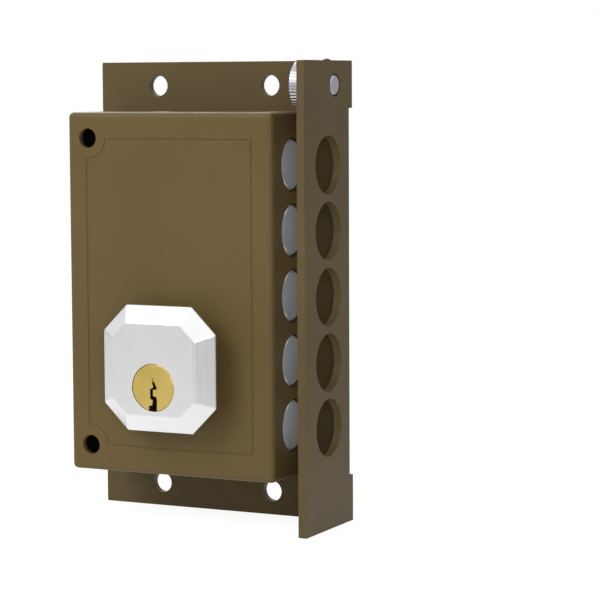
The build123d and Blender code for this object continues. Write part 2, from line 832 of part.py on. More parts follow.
def tooth_outline():
    """Points of all the pinion's teeth in order round its axis, as radius and angle pairs."""
    points = []
    half_at_pitch = (math.pi / 2 - tooth_play / gear_module) / pinion_teeth
    flank_turn = involute(math.radians(pressure_angle))
    for tooth in range(pinion_teeth):
        middle_angle = 2 * math.pi * (tooth + 1 / 2) / pinion_teeth
        flank = []
        for step in range(flank_steps + 1):
            radius = base_radius + (tip_radius - base_radius) * step / flank_steps
            roll = math.acos(min(base_radius / radius, 1))
            flank.append((radius, half_at_pitch + flank_turn - involute(roll)))
        flank.insert(0, (root_radius, flank[0][1]))
        points += [(radius, middle_angle - half) for radius, half in flank]
        points += [(radius, middle_angle + half) for radius, half in reversed(flank)]
    return points


with BuildPart() as drive_pinion:
    with BuildSketch(Plane.XZ.offset(-pinion_back_y)):
        with BuildLine():
            Polyline(
                [
                    (knob_x + radius * math.sin(angle), knob_axis_z + radius * math.cos(angle))
                    for radius, angle in tooth_outline()
                ],
                close=True,
            )
        make_face()
        with Locations((knob_x, knob_axis_z)):
            Rectangle(
                spindle_square + 2 * spindle_square_play, spindle_square + 2 * spindle_square_play,
                mode=Mode.SUBTRACT,
            )
    extrude(amount=pinion_thickness)
drive_pinion.part.label = "drive_pinion"
export_step(drive_pinion.part, "parts/drive_pinion.step")

# Spindle, a flange behind the knob's hub with a shaft and a square for the pinion
spindle_screw_places = [
    (
        knob_x + spindle_screw_circle / 2 * math.cos(math.radians(angle)),
        knob_axis_z + spindle_screw_circle / 2 * math.sin(math.radians(angle)),
    )
    for angle in spindle_screw_angles
]
spindle_flange_back_y = hub_back_y + spindle_flange_thickness
with BuildPart() as spindle:
    along_y(knob_x, knob_axis_z, hub_back_y, spindle_flange_back_y, spindle_flange_diameter / 2)
    along_y(knob_x, knob_axis_z, spindle_flange_back_y, pinion_front_y, spindle_diameter / 2)
    square_half = spindle_square / 2
    block(
        knob_x - square_half, knob_x + square_half, pinion_front_y, pinion_back_y + spindle_end_play,
        knob_axis_z - square_half, knob_axis_z + square_half,
    )
    for place_x, place_z in spindle_screw_places:
        screw_seat_along_y(
            place_x, place_z, spindle_flange_back_y, -1, spindle_screw_diameter,
            spindle_flange_thickness + overrun, spindle_screw_head, spindle_screw_head_height,
        )
spindle.part.label = "spindle"
export_step(spindle.part, "parts/spindle.step")

# Screws that hold the spindle on the hub
with BuildPart() as spindle_screws:
    for place_x, place_z in spindle_screw_places:
        screw_along_y(
            place_x, place_z, spindle_flange_back_y, -1, spindle_screw_diameter,
            spindle_screw_length, spindle_screw_head, spindle_screw_head_height,
        )
spindle_screws.part.label = "spindle_screws"
export_step(spindle_screws.part, "parts/spindle_screws.step")

# Knob and hub in one casting, bored for the plug, its pins and the lock pin
inner_pin_places = [knob_face_y + inner_pin_first + inner_pin_pitch * i for i in range(inner_pin_count)]
plug_radius = plug_diameter / 2
plug_bore = plug_radius + plug_play
inner_chamber_top_z = plug_z + plug_bore + inner_chamber_height
with BuildPart() as knob:
    with BuildSketch(Plane.XZ.offset(-knob_bevel_y)):
        cut_square(knob_x, knob_axis_z, knob_size, knob_corner_cut)
    with BuildSketch(Plane.XZ.offset(-knob_face_y)):
        cut_square(knob_x, knob_axis_z, knob_face_size, knob_face_corner_cut)
    loft(ruled=True)
    with BuildSketch(Plane.XZ.offset(-knob_back_y)):
        cut_square(knob_x, knob_axis_z, knob_size, knob_corner_cut)
    extrude(amount=knob_band)
    face_edges = edges().group_by(Axis.Y)[0]
    back_edges = edges().group_by(Axis.Y)[-1]
    slope_edges = edges().filter_by(
        lambda e: e.bounding_box().size.Y > knob_bevel_depth / 2
    )
    fillet(face_edges + slope_edges, radius=knob_edge_round)
    chamfer(edges().group_by(Axis.Y)[-1], length=knob_edge_round)
    along_y(knob_x, knob_axis_z, knob_back_y - overrun, hub_back_y, hub_radius)
    along_y(knob_x, plug_z, knob_face_y - overrun, lock_cam_back_y + plug_play, plug_bore, Mode.SUBTRACT)
    for pin_y in inner_pin_places:
        along_z(
            knob_x, pin_y, plug_z, inner_chamber_top_z, inner_pin_diameter / 2 + pin_play, Mode.SUBTRACT
        )
    along_z(
        knob_x, lock_pin_y, plug_z, knob_axis_z + hub_diameter,
        lock_pin_diameter / 2 + lock_pin_play, Mode.SUBTRACT,
    )
    for place_x, place_z in spindle_screw_places:
        along_y(
            place_x, place_z, spindle_flange_back_y - spindle_screw_length - overrun,
            hub_back_y + overrun, spindle_screw_diameter / 2 + screw_play, Mode.SUBTRACT,
        )
knob.part.label = "knob"
export_step(knob.part, "parts/knob.step")

# Ring that carries the hub, with a notch above and below for the lock pin
with BuildPart() as knob_bush:
    bore_radius = hub_radius + hub_play
    along_y(knob_x, knob_axis_z, cover_front_y, bush_back_y, bore_radius + bush_wall)
    along_y(knob_x, knob_axis_z, cover_inner_front_y, bush_back_y, bush_flange_diameter / 2)
    along_y(
        knob_x, knob_axis_z, cover_front_y - overrun, bush_back_y + overrun, bore_radius, Mode.SUBTRACT
    )
    notch_half = lock_pin_diameter / 2 + lock_notch_play
    notch_reach = bore_radius + lock_notch_depth
    block(
        knob_x - notch_half, knob_x + notch_half, lock_pin_y - notch_half, bush_back_y + overrun,
        knob_axis_z - notch_reach, knob_axis_z + notch_reach, Mode.SUBTRACT,
    )
knob_bush.part.label = "knob_bush"
export_step(knob_bush.part, "parts/knob_bush.step")

# Plug in the knob
with BuildPart() as inner_plug:
    along_y(knob_x, plug_z, knob_face_y, inner_plug_back_y, plug_radius)
    chamfer(edges().group_by(Axis.Y)[0], length=plug_edge)
    keyway_cut(knob_face_y - overrun, inner_plug_back_y + overrun, 1)
    for pin_y in inner_pin_places:
        along_z(
            knob_x, pin_y, plug_z, plug_z + plug_diameter, inner_pin_diameter / 2 + pin_play, Mode.SUBTRACT
        )
inner_plug.part.label = "inner_plug"
export_step(inner_plug.part, "parts/inner_plug.step")

# Cam behind the inner plug, a spiral that lifts the lock pin as the key turns
with BuildPart() as knob_lock_cam:
    full_turn = math.radians(lock_cam_turn)
    shares = [i / lock_cam_steps for i in range(lock_cam_steps + 1)]
    rise = [(lock_cam_radius + lock_cam_lift * share, full_turn * share) for share in shares]
    rise.insert(0, (lock_cam_radius, -full_turn * lock_cam_dwell_share))
    rise.append((lock_cam_radius + lock_cam_lift, full_turn * (1 + lock_cam_dwell_share)))
    with BuildSketch(Plane.XZ.offset(-lock_cam_back_y)):
        with Locations((knob_x, plug_z)):
            Circle(lock_cam_radius)
        with BuildLine():
            Polyline(
                [(knob_x, plug_z)]
                + [
                    (knob_x - radius * math.sin(angle), plug_z + radius * math.cos(angle))
                    for radius, angle in rise
                ],
                close=True,
            )
        make_face()
    extrude(amount=lock_cam_thickness)
knob_lock_cam.part.label = "knob_lock_cam"
export_step(knob_lock_cam.part, "parts/knob_lock_cam.step")

# Pin that locks the knob in its bush
with BuildPart() as knob_lock_pin:
    along_z(
        knob_x, lock_pin_y, plug_z + lock_cam_radius + lock_cam_play,
        knob_axis_z + hub_radius - lock_pin_set_back, lock_pin_diameter / 2,
    )
    fillet(edges().group_by(Axis.Z)[0], radius=lock_pin_round)
knob_lock_pin.part.label = "knob_lock_pin"
export_step(knob_lock_pin.part, "parts/knob_lock_pin.step")


def key_pin_lengths(count, length):
    """Lengths of a row of key pins, longer and shorter in turn as a key's cuts are."""
    return [length * (1 - key_pin_step_share * ((i * 2) % 3) / 2) for i in range(count)]


# Pin stacks in the knob
key_pin_top_z = plug_z + plug_radius - shear_gap
driver_foot_z = plug_z + plug_bore + shear_gap
with BuildPart() as inner_key_pins:
    for pin_y, length in zip(inner_pin_places, key_pin_lengths(inner_pin_count, inner_key_pin_length)):
        along_z(knob_x, pin_y, key_pin_top_z - length, key_pin_top_z, inner_pin_diameter / 2)
    chamfer(
        edges().filter_by(GeomType.CIRCLE).filter_by(lambda e: e.center().Z < key_pin_top_z - shear_gap),
        length=pin_chamfer,
    )
inner_key_pins.part.label = "inner_key_pins"
export_step(inner_key_pins.part, "parts/inner_key_pins.step")

with BuildPart() as inner_driver_pins:
    for pin_y in inner_pin_places:
        along_z(
            knob_x, pin_y, driver_foot_z, driver_foot_z + inner_driver_length, inner_pin_diameter / 2
        )
inner_driver_pins.part.label = "inner_driver_pins"
export_step(inner_driver_pins.part, "parts/inner_driver_pins.step")

with BuildPart() as inner_pin_springs:
    for pin_y in inner_pin_places:
        spring_foot_z = driver_foot_z + inner_driver_length
        along_z(knob_x, pin_y, spring_foot_z, inner_chamber_top_z, inner_pin_diameter / 2)
        along_z(
            knob_x, pin_y, spring_foot_z, inner_chamber_top_z,
            inner_pin_diameter / 2 - spring_wall, Mode.SUBTRACT,
        )
inner_pin_springs.part.label = "inner_pin_springs"
export_step(inner_pin_springs.part, "parts/inner_pin_springs.step")

# Nickel disc and neck of the outer cylinder, with the lug that sits in the plate's slot
with BuildPart() as cylinder_flange:
    along_y(knob_x, disc_z, 0, disc_thickness, disc_diameter / 2)
    fillet(edges().group_by(Axis.Y)[-1], radius=disc_thickness / 3)
    with BuildSketch(Plane.XZ.offset(-cylinder_neck_end)):
        cylinder_outline()
    extrude(amount=cylinder_neck_end)
    with BuildSketch(Plane.XZ.offset(-disc_thickness - collar_rim_height)):
        cylinder_outline(collar_rim)
    extrude(amount=collar_rim_height)
    lug_top_z = plate_slot_top_z - lug_top_drop
    lug_front_y = -plate_thickness + lug_step / 2
    lug_x = knob_x - lug_offset
    block(
        lug_x - lug_width / 2, lug_x + lug_width / 2, lug_front_y, overrun,
        lug_top_z - lug_length, lug_top_z,
    )
    block(
        lug_x - lug_width / 2 - overrun, lug_x + lug_width / 2 + overrun,
        -lug_step, overrun, lug_top_z - lug_step_height, lug_top_z + overrun, Mode.SUBTRACT,
    )
    along_y(
        knob_x, plug_z, cam_tail_start - plug_play, cylinder_neck_end + overrun, plug_bore, Mode.SUBTRACT
    )
    along_y(
        knob_x, plug_z, -plate_thickness - overrun, cam_tail_start,
        cam_tail_diameter / 2 + plug_play, Mode.SUBTRACT,
    )
    cylinder_bolt_z = plug_z + cylinder_bolt_rise
    along_y(
        knob_x, cylinder_bolt_z, lug_front_y - overrun, cylinder_neck_end + overrun,
        cylinder_bolt_diameter / 2 + screw_play, Mode.SUBTRACT,
    )
    along_y(
        knob_x, cylinder_bolt_z, lug_front_y - overrun, cylinder_bolt_head_height,
        cylinder_bolt_head / 2 + screw_play, Mode.SUBTRACT,
    )
    for place_x, place_z in fixing_places:
        along_y(
            place_x, place_z, -overrun, fixing_screw_length - plate_thickness + plug_edge,
            fixing_screw_diameter / 2 + screw_play, Mode.SUBTRACT,
        )
    slit_z = fin_top_z - neck_slit_drop
    for side in (-1, 1):
        fin_face_x = knob_x + side * cylinder_fin_width / 2
        block(
            min(fin_face_x, fin_face_x - side * neck_slit_depth),
            max(fin_face_x, fin_face_x - side * neck_slit_depth),
            cylinder_neck_end - neck_slit_width, cylinder_neck_end,
            slit_z - neck_slit_height, slit_z, Mode.SUBTRACT,
        )
cylinder_flange.part.label = "cylinder_flange"
export_step(cylinder_flange.part, "parts/cylinder_flange.step")

# Countersunk screws that hold the disc on the plate
with BuildPart() as cylinder_fixing_screws:
    for place_x, place_z in fixing_places:
        screw_along_y(
            place_x, place_z, -plate_thickness, 1, fixing_screw_diameter, fixing_screw_length,
            fixing_screw_head, fixing_screw_head_height,
        )
cylinder_fixing_screws.part.label = "cylinder_fixing_screws"
export_step(cylinder_fixing_screws.part, "parts/cylinder_fixing_screws.step")

# Brass body of the outer cylinder
outer_pin_places = [
    cylinder_projection - outer_pin_first - outer_pin_pitch * i for i in range(outer_pin_count)
]
chamber_plug_foot_z = fin_top_z - outer_chamber_plug_length
cylinder_bolt_tip_y = cylinder_neck_end + cylinder_bolt_reach
with BuildPart() as outer_cylinder_body:
    with BuildSketch(Plane.XZ.offset(-cylinder_projection)):
        cylinder_outline()
    extrude(amount=cylinder_projection - cylinder_neck_end)
    chamfer(edges().group_by(Axis.Y)[-1], length=cylinder_edge)
    along_y(
        knob_x, plug_z, cylinder_neck_end - overrun, cylinder_projection + overrun, plug_bore, Mode.SUBTRACT
    )
    for pin_y in outer_pin_places:
        along_z(
            knob_x, pin_y, plug_z, fin_top_z + overrun, outer_pin_diameter / 2 + pin_play, Mode.SUBTRACT
        )
    along_y(
        knob_x, cylinder_bolt_z, cylinder_neck_end - overrun, cylinder_bolt_tip_y + plug_edge,
        cylinder_bolt_diameter / 2 + screw_play, Mode.SUBTRACT,
    )
outer_cylinder_body.part.label = "outer_cylinder_body"
export_step(outer_cylinder_body.part, "parts/outer_cylinder_body.step")

# Long screw that pulls the body to the neck
with BuildPart() as cylinder_bolt:
    along_y(knob_x, cylinder_bolt_z, 0, cylinder_bolt_head_height, cylinder_bolt_head / 2)
    along_y(
        knob_x, cylinder_bolt_z, cylinder_bolt_head_height, cylinder_bolt_tip_y, cylinder_bolt_diameter / 2
    )
cylinder_bolt.part.label = "cylinder_bolt"
export_step(cylinder_bolt.part, "parts/cylinder_bolt.step")

# Plug of the outer cylinder, with the tail that carries the cam
with BuildPart() as outer_plug:
    along_y(knob_x, plug_z, cam_tail_start, cylinder_projection, plug_radius)
    chamfer(edges().group_by(Axis.Y)[-1], length=plug_edge)
    keyway_cut(cam_tail_start + cam_screw_length, cylinder_projection + overrun, -1)
    along_y(knob_x, plug_z, cam_back_y, cam_tail_start, cam_tail_diameter / 2)
    for pin_y in outer_pin_places:
        along_z(
            knob_x, pin_y, plug_z, plug_z + plug_diameter, outer_pin_diameter / 2 + pin_play, Mode.SUBTRACT
        )
    along_y(
        knob_x, plug_z, cam_back_y - overrun, cam_front_y + cam_screw_length + plug_edge,
        cam_screw_diameter / 2 + screw_play, Mode.SUBTRACT,
    )
outer_plug.part.label = "outer_plug"
export_step(outer_plug.part, "parts/outer_plug.step")

# Finger on the plug's tail, pointing down while the key is out
with BuildPart() as key_cam:
    along_y(knob_x, plug_z, cam_front_y, cam_back_y, cam_hub_diameter / 2)
    finger_end_z = plug_z - cam_reach + cam_width / 2
    block(
        knob_x - cam_width / 2, knob_x + cam_width / 2, cam_front_y, cam_back_y, finger_end_z, plug_z
    )
    along_y(knob_x, finger_end_z, cam_front_y, cam_back_y, cam_width / 2)
    screw_seat_along_y(
        knob_x, plug_z, cam_front_y, 1, cam_screw_diameter, cam_thickness + overrun,
        cam_screw_head, cam_screw_head_height,
    )
key_cam.part.label = "key_cam"
export_step(key_cam.part, "parts/key_cam.step")

with BuildPart() as cam_screw:
    screw_along_y(
        knob_x, plug_z, cam_front_y, 1, cam_screw_diameter, cam_screw_length,
        cam_screw_head, cam_screw_head_height,
    )
cam_screw.part.label = "cam_screw"
export_step(cam_screw.part, "parts/cam_screw.step")

# Pin stacks of the outer cylinder
with BuildPart() as outer_key_pins:
    for pin_y, length in zip(outer_pin_places, key_pin_lengths(outer_pin_count, outer_key_pin_length)):
        along_z(knob_x, pin_y, key_pin_top_z - length, key_pin_top_z, outer_pin_diameter / 2)
    chamfer(
        edges().filter_by(GeomType.CIRCLE).filter_by(lambda e: e.center().Z < key_pin_top_z - shear_gap),
        length=pin_chamfer,
    )
outer_key_pins.part.label = "outer_key_pins"
export_step(outer_key_pins.part, "parts/outer_key_pins.step")

with BuildPart() as outer_driver_pins:
    for pin_y in outer_pin_places:
        along_z(
            knob_x, pin_y, driver_foot_z, driver_foot_z + outer_driver_length, outer_pin_diameter / 2
        )
outer_driver_pins.part.label = "outer_driver_pins"
export_step(outer_driver_pins.part, "parts/outer_driver_pins.step")

with BuildPart() as outer_pin_springs:
    for pin_y in outer_pin_places:
        spring_foot_z = driver_foot_z + outer_driver_length
        along_z(knob_x, pin_y, spring_foot_z, chamber_plug_foot_z, outer_pin_diameter / 2)
        along_z(
            knob_x, pin_y, spring_foot_z, chamber_plug_foot_z,
            outer_pin_diameter / 2 - spring_wall, Mode.SUBTRACT,
        )
outer_pin_springs.part.label = "outer_pin_springs"
export_step(outer_pin_springs.part, "parts/outer_pin_springs.step")

with BuildPart() as outer_chamber_plugs:
    for pin_y in outer_pin_places:
        along_z(
            knob_x, pin_y, chamber_plug_foot_z, fin_top_z, outer_pin_diameter / 2 + pin_play
        )
outer_chamber_plugs.part.label = "outer_chamber_plugs"
export_step(outer_chamber_plugs.part, "parts/outer_chamber_plugs.step")

# Knurled thumb screw, its pin through the flange
with BuildPart() as thumb_screw:
    thumb_right_x = thumb_left_x + thumb_length
    with BuildSketch(Plane.YZ.offset(thumb_left_x)):
        with BuildLine():
            Polyline(
                [
                    (
                        -thumb_axis_depth + (thumb_diameter / 2 - thumb_rib_depth * (i % 2))
                        * math.cos(math.pi * i / thumb_rib_count),
                        thumb_axis_z + (thumb_diameter / 2 - thumb_rib_depth * (i % 2))
                        * math.sin(math.pi * i / thumb_rib_count),
                    )
                    for i in range(2 * thumb_rib_count)
                ],
                close=True,
            )
        make_face()
    extrude(amount=thumb_length)
    along_x(
        -thumb_axis_depth, thumb_axis_z, thumb_right_x, flange_face_x, thumb_pin_diameter / 2
    )
    chamfer(edges().group_by(Axis.X)[-1], length=plug_edge)
    along_x(
        -thumb_axis_depth, thumb_axis_z, thumb_left_x - overrun, thumb_left_x + thumb_face_recess,
        thumb_diameter / 2 - thumb_washer_thickness * 2, Mode.SUBTRACT,
    )
thumb_screw.part.label = "thumb_screw"
export_step(thumb_screw.part, "parts/thumb_screw.step")

with BuildPart() as thumb_washer:
    along_x(
        -thumb_axis_depth, thumb_axis_z, flange_inner_x - thumb_washer_thickness, flange_inner_x,
        thumb_washer_diameter / 2,
    )
    along_x(
        -thumb_axis_depth, thumb_axis_z, flange_inner_x - thumb_washer_thickness - overrun,
        flange_inner_x + overrun, thumb_pin_diameter / 2 + bolt_guide_play, Mode.SUBTRACT,
    )
thumb_washer.part.label = "thumb_washer"
export_step(thumb_washer.part, "parts/thumb_washer.step")
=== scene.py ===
import dataclasses
import functools
import logging
import math
from collections.abc import Callable, Mapping, Sequence
from dataclasses import dataclass, field
from enum import Enum

import bmesh
import bpy
from mathutils import Matrix, Vector


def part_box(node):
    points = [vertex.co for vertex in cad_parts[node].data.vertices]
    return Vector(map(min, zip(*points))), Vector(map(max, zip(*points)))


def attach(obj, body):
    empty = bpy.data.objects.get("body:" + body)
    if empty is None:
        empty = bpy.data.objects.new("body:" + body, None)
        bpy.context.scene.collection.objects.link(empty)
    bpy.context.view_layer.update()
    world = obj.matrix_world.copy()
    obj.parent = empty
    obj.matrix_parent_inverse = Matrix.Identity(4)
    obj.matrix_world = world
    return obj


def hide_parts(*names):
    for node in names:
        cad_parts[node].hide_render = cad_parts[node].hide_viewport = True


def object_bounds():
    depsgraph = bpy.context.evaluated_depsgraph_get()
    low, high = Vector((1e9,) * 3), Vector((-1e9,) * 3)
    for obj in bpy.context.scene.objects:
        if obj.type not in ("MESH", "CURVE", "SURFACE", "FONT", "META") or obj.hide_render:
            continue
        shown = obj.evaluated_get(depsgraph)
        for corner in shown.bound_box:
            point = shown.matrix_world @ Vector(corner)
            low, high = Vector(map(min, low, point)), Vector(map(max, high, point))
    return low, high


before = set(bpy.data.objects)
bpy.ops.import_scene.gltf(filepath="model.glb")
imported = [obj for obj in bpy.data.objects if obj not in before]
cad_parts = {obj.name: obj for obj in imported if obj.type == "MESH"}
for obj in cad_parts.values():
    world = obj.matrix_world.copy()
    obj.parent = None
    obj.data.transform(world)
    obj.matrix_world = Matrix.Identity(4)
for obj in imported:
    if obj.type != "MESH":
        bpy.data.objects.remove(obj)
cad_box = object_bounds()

# Rim box lock, sizes in millimetres.
# X runs towards the edge of the door, Y into the door, Z up.

MM = 0.001
NEAR = 0.01  # a point this near to a plane lies on it
WELD = 0.002  # points nearer than this become one after cutting
MERGE = 0.001  # and nearer than this after turning and rounding
PAST = 0.5  # how far a cutter runs past what it cuts
ROUND_STEPS = 96
SCREW_STEPS = 64
FLAT_ANGLE = 0.4  # faces that meet at less, in degrees, become one
SHARP_ANGLE = 34.0  # edges over this angle stay sharp when shaded
TURNED_ANGLE = 40.0  # edges of turned pieces under this angle are left as they are
NOISE_SPAN = (0.3, 0.7)  # most of a noise lies between these

LOG = logging.getLogger("rim_lock")

Point = tuple[float, float]
Place = tuple[float, float, float]
Colour = tuple[float, float, float]
Choice = Callable[[bmesh.types.BMEdge], bool]
Socket = bpy.types.NodeSocket
Inputs = Mapping[str | int, object]


class Axis(Enum):
    """Direction in which a form is turned, pushed or brushed."""

    X = 0
    Y = 1
    Z = 2

    def spot(self, along: float, across: Point) -> Vector:
        """Point at a distance along the axis.

        Args:
            along: Coordinate on this axis.
            across: The other two coordinates, in X, Y, Z order.

        Returns:
            The point in space.
        """
        rest = list(across)
        return Vector([along if axis is self else rest.pop(0) for axis in Axis])

    @property
    def step(self) -> Vector:
        """Unit vector along the axis."""
        return self.spot(1.0, (0.0, 0.0))


class Joining(Enum):
    """How one form acts on another."""

    ADD = "UNION"
    CUT = "DIFFERENCE"
    KEEP = "INTERSECT"


class Marks(Enum):
    """Marks that its making leaves on a metal."""

    BRUSHED = "brushed"
    TURNED = "turned"
    PLATED = "plated"


def arc(centre: Point, radius: float, start: float, end: float, steps: int = 24) -> list[Point]:
    """Points along an arc.

    Args:
        centre: Middle of the arc.
        radius: Its radius.
        start: First angle in degrees.
        end: Last angle in degrees.
        steps: Number of chords.

    Returns:
        The points, both ends included.
    """
    angles = [math.radians(start + (end - start) * i / steps) for i in range(steps + 1)]
    return [(centre[0] + radius * math.cos(a), centre[1] + radius * math.sin(a)) for a in angles]


def placed(name: str, data: bpy.types.ID) -> bpy.types.Object:
    """Puts a mesh, lamp or camera in the scene.

    Args:
        name: Name of its object.
        data: The mesh, lamp or camera.

    Returns:
        The object.
    """
    made = bpy.data.objects.new(name, data)
    bpy.context.scene.collection.objects.link(made)
    return made


def middle(edge: bmesh.types.BMEdge) -> Vector:
    """Midpoint of an edge."""
    return (edge.verts[0].co + edge.verts[1].co) / 2


def runs(edge: bmesh.types.BMEdge, axis: Axis) -> bool:
    """Tells whether an edge lies along an axis."""
    way = (edge.verts[1].co - edge.verts[0].co).normalized()
    return abs(way[axis.value]) > 1 - NEAR


def beyond(place: float, way: int = 1) -> Choice:
    """Picks the edges that lie on Y past a place, or short of it where way is -1."""
    return lambda edge: all(way * (vert.co.y - place) > -NEAR for vert in edge.verts)


def sharper(angle: float) -> Choice:
    """Picks the edges whose faces meet at more than an angle in degrees."""
    return lambda edge: edge.is_manifold and edge.calc_face_angle(0.0) > math.radians(angle)


class Shape:
    """Closed mesh in millimetres that bmesh operators shape until it becomes a piece."""

    def __init__(self) -> None:
        """Starts with nothing."""
        self.mesh = bmesh.new()

    @classmethod
    def block(cls, low: Sequence[float], high: Sequence[float]) -> "Shape":
        """Block between two corners.

        Args:
            low: Its lowest corner.
            high: Its highest corner.

        Returns:
            The block.
        """
        shape = cls()
        start, size = Vector(low), Vector(high) - Vector(low)
        sized = Matrix.Translation(start + size / 2) @ Matrix.Diagonal((*size, 1.0))
        bmesh.ops.create_cube(shape.mesh, size=1.0, matrix=sized)
        return shape

    @classmethod
    def slab(cls, outline: Sequence[Point], axis: Axis, low: float, high: float) -> "Shape":
        """Outline pushed along an axis.

        Args:
            outline: Corners of the outline.
            axis: Direction of the push.
            low: Where it starts on the axis.
            high: Where it ends.

        Returns:
            The slab.
        """
        shape = cls()
        face = shape.mesh.faces.new([shape.mesh.verts.new(axis.spot(low, point)) for point in outline])
        pushed = bmesh.ops.extrude_face_region(shape.mesh, geom=[face])["geom"]
        moved = [item for item in pushed if isinstance(item, bmesh.types.BMVert)]
        bmesh.ops.translate(shape.mesh, vec=axis.step * (high - low), verts=moved)
        shape.face_outwards()
        return shape

    @classmethod
    def turned(
        cls, profile: Sequence[Point], axis: Axis, centre: Point, steps: int = ROUND_STEPS, ring: bool = False
    ) -> "Shape":
        """Profile of (place along the axis, radius) points spun once round.

        Args:
            profile: The points in order.
            axis: Direction of the axis.
            centre: The axis's other two coordinates.
            steps: Number of steps round.
            ring: True where the profile closes on itself, in place of on the axis.

        Returns:
            The closed form.
        """
        shape = cls()
        start, end = profile[0], (profile[-1][0], 0.0)
        whole = [*profile, start] if ring else [(start[0], 0.0), *profile, end]
        points = [
            shape.mesh.verts.new(axis.spot(along, (centre[0] + radius, centre[1])))
            for along, radius in whole
        ]
        line = [shape.mesh.edges.new(pair) for pair in zip(points, points[1:])]
        bmesh.ops.spin(
            shape.mesh, geom=points + line, cent=axis.spot(0.0, centre), axis=axis.step,
            angle=math.tau, steps=steps, use_merge=True,
        )
        bmesh.ops.remove_doubles(shape.mesh, verts=shape.mesh.verts, dist=MERGE)
        shape.face_outwards()
        return shape

    @classmethod
    def rod(cls, axis: Axis, centre: Point, low: float, high: float, radius: float) -> "Shape":
        """Plain round bar or hole."""
        return cls.turned([(low, radius), (high, radius)], axis, centre)

    @classmethod
    def lofted(
        cls, sections: Sequence[tuple[float, Sequence[Point]]], axis: Axis, ring: bool = False
    ) -> "Shape":
        """Closed form that runs through several outlines with as many corners each.

        Args:
            sections: Place along the axis and outline of each section.
            axis: Direction in which the sections are placed.
            ring: True where the last section runs back to the first, in place of ends.

        Returns:
            The closed form.
        """
        shape = cls()
        loops = []
        for along, outline in sections:
            corners = [shape.mesh.verts.new(axis.spot(along, point)) for point in outline]
            loops.append([shape.mesh.edges.new(pair) for pair in zip(corners, corners[1:] + corners[:1])])
        for lower, upper in zip(loops, loops[1:] + (loops[:1] if ring else [])):
            bmesh.ops.bridge_loops(shape.mesh, edges=lower + upper)
        for loop in () if ring else (loops[0], loops[-1]):
            bmesh.ops.contextual_create(shape.mesh, geom=loop)
        shape.face_outwards()
        return shape

    def face_outwards(self) -> None:
        """Turns all faces outwards."""
        bmesh.ops.recalc_face_normals(self.mesh, faces=self.mesh.faces)

    def holder(self) -> bpy.types.Object:
        """Puts a copy of the mesh in an object of its own.

        Returns:
            The object.
        """
        data = bpy.data.meshes.new("form")
        self.mesh.to_mesh(data)
        return placed("form", data)

    def combine(self, other: "Shape", how: Joining) -> "Shape":
        """Lets another form act on this one, which uses it up.

        Args:
            other: The other form.
            how: Whether it is added or cut away, or both keep only what they share.

        Returns:
            This form.
        """
        own, tool = self.holder(), other.holder()
        step = own.modifiers.new(how.value, "BOOLEAN")
        step.operation = how.value
        step.solver = "EXACT"
        step.object = tool
        graph = bpy.context.evaluated_depsgraph_get()
        result = bpy.data.meshes.new_from_object(own.evaluated_get(graph))
        self.mesh.clear()
        self.mesh.from_mesh(result)
        other.mesh.free()
        for body in (own, tool):
            data = body.data
            bpy.data.objects.remove(body)
            bpy.data.meshes.remove(data)
        bpy.data.meshes.remove(result)
        return self

    def cut(self, *others: "Shape") -> "Shape":
        """Cuts forms away one after another, and returns this one."""
        for other in others:
            self.combine(other, Joining.CUT)
        return self

    def add(self, *others: "Shape") -> "Shape":
        """Joins forms to this one, and returns it."""
        for other in others:
            self.combine(other, Joining.ADD)
        return self

    def clean(self) -> None:
        """Merges doubles and flat neighbours that cutting leaves."""
        mesh = self.mesh
        bmesh.ops.remove_doubles(mesh, verts=mesh.verts, dist=WELD)
        bmesh.ops.dissolve_limit(
            mesh, angle_limit=math.radians(FLAT_ANGLE), verts=mesh.verts, edges=mesh.edges, delimit=set()
        )
        bmesh.ops.dissolve_degenerate(mesh, dist=WELD, edges=mesh.edges)

    def bevel(self, width: float, steps: int, chosen: Choice) -> "Shape":
        """Rounds edges.

        Args:
            width: Width of the rounding.
            steps: Number of faces across it.
            chosen: Tells which edges are rounded.

        Returns:
            This form.
        """
        bmesh.ops.bevel(
            self.mesh, geom=[edge for edge in self.mesh.edges if chosen(edge)], offset=width,
            offset_type="OFFSET", affect="EDGES", segments=steps, profile=0.5, material=-1,
            clamp_overlap=True,
        )
        return self

    def soften(self, width: float, steps: int = 2, angle: float = 26.0) -> "Shape":
        """Cleans the form and rounds its sharp edges.

        Args:
            width: Width of the rounding.
            steps: Number of faces across it.
            angle: Edges sharper than this, in degrees, are rounded.

        Returns:
            This form.
        """
        self.clean()
        self.bevel(width, steps, sharper(angle))
        bmesh.ops.remove_doubles(self.mesh, verts=self.mesh.verts, dist=MERGE)
        return self

    def piece(
        self, name: str, finish: "Finish", body: str, slot: str, replaces: Sequence[str]
    ) -> None:
        """Turns the form into a finished piece of the lock, with its place in its mesh.

        Args:
            name: Name of the piece.
            finish: What it is made of.
            body: Body that it rides on.
            slot: The record's material slot that the piece stands for; not used.
            replaces: Nodes that it stands for.
        """
        bmesh.ops.scale(self.mesh, vec=(MM, MM, MM), verts=self.mesh.verts)
        data = bpy.data.meshes.new(name)
        self.mesh.to_mesh(data)
        self.mesh.free()
        data.shade_smooth()
        data.set_sharp_from_angle(angle=math.radians(SHARP_ANGLE))
        data.materials.append(finish.material())
        made = placed(name, data)
        weighted = made.modifiers.new("flat_faces", "WEIGHTED_NORMAL")
        weighted.keep_sharp = True
        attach(made, body)
        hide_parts(*replaces)
        LOG.info("%s: %d faces, rides on %s", name, len(data.polygons), body)


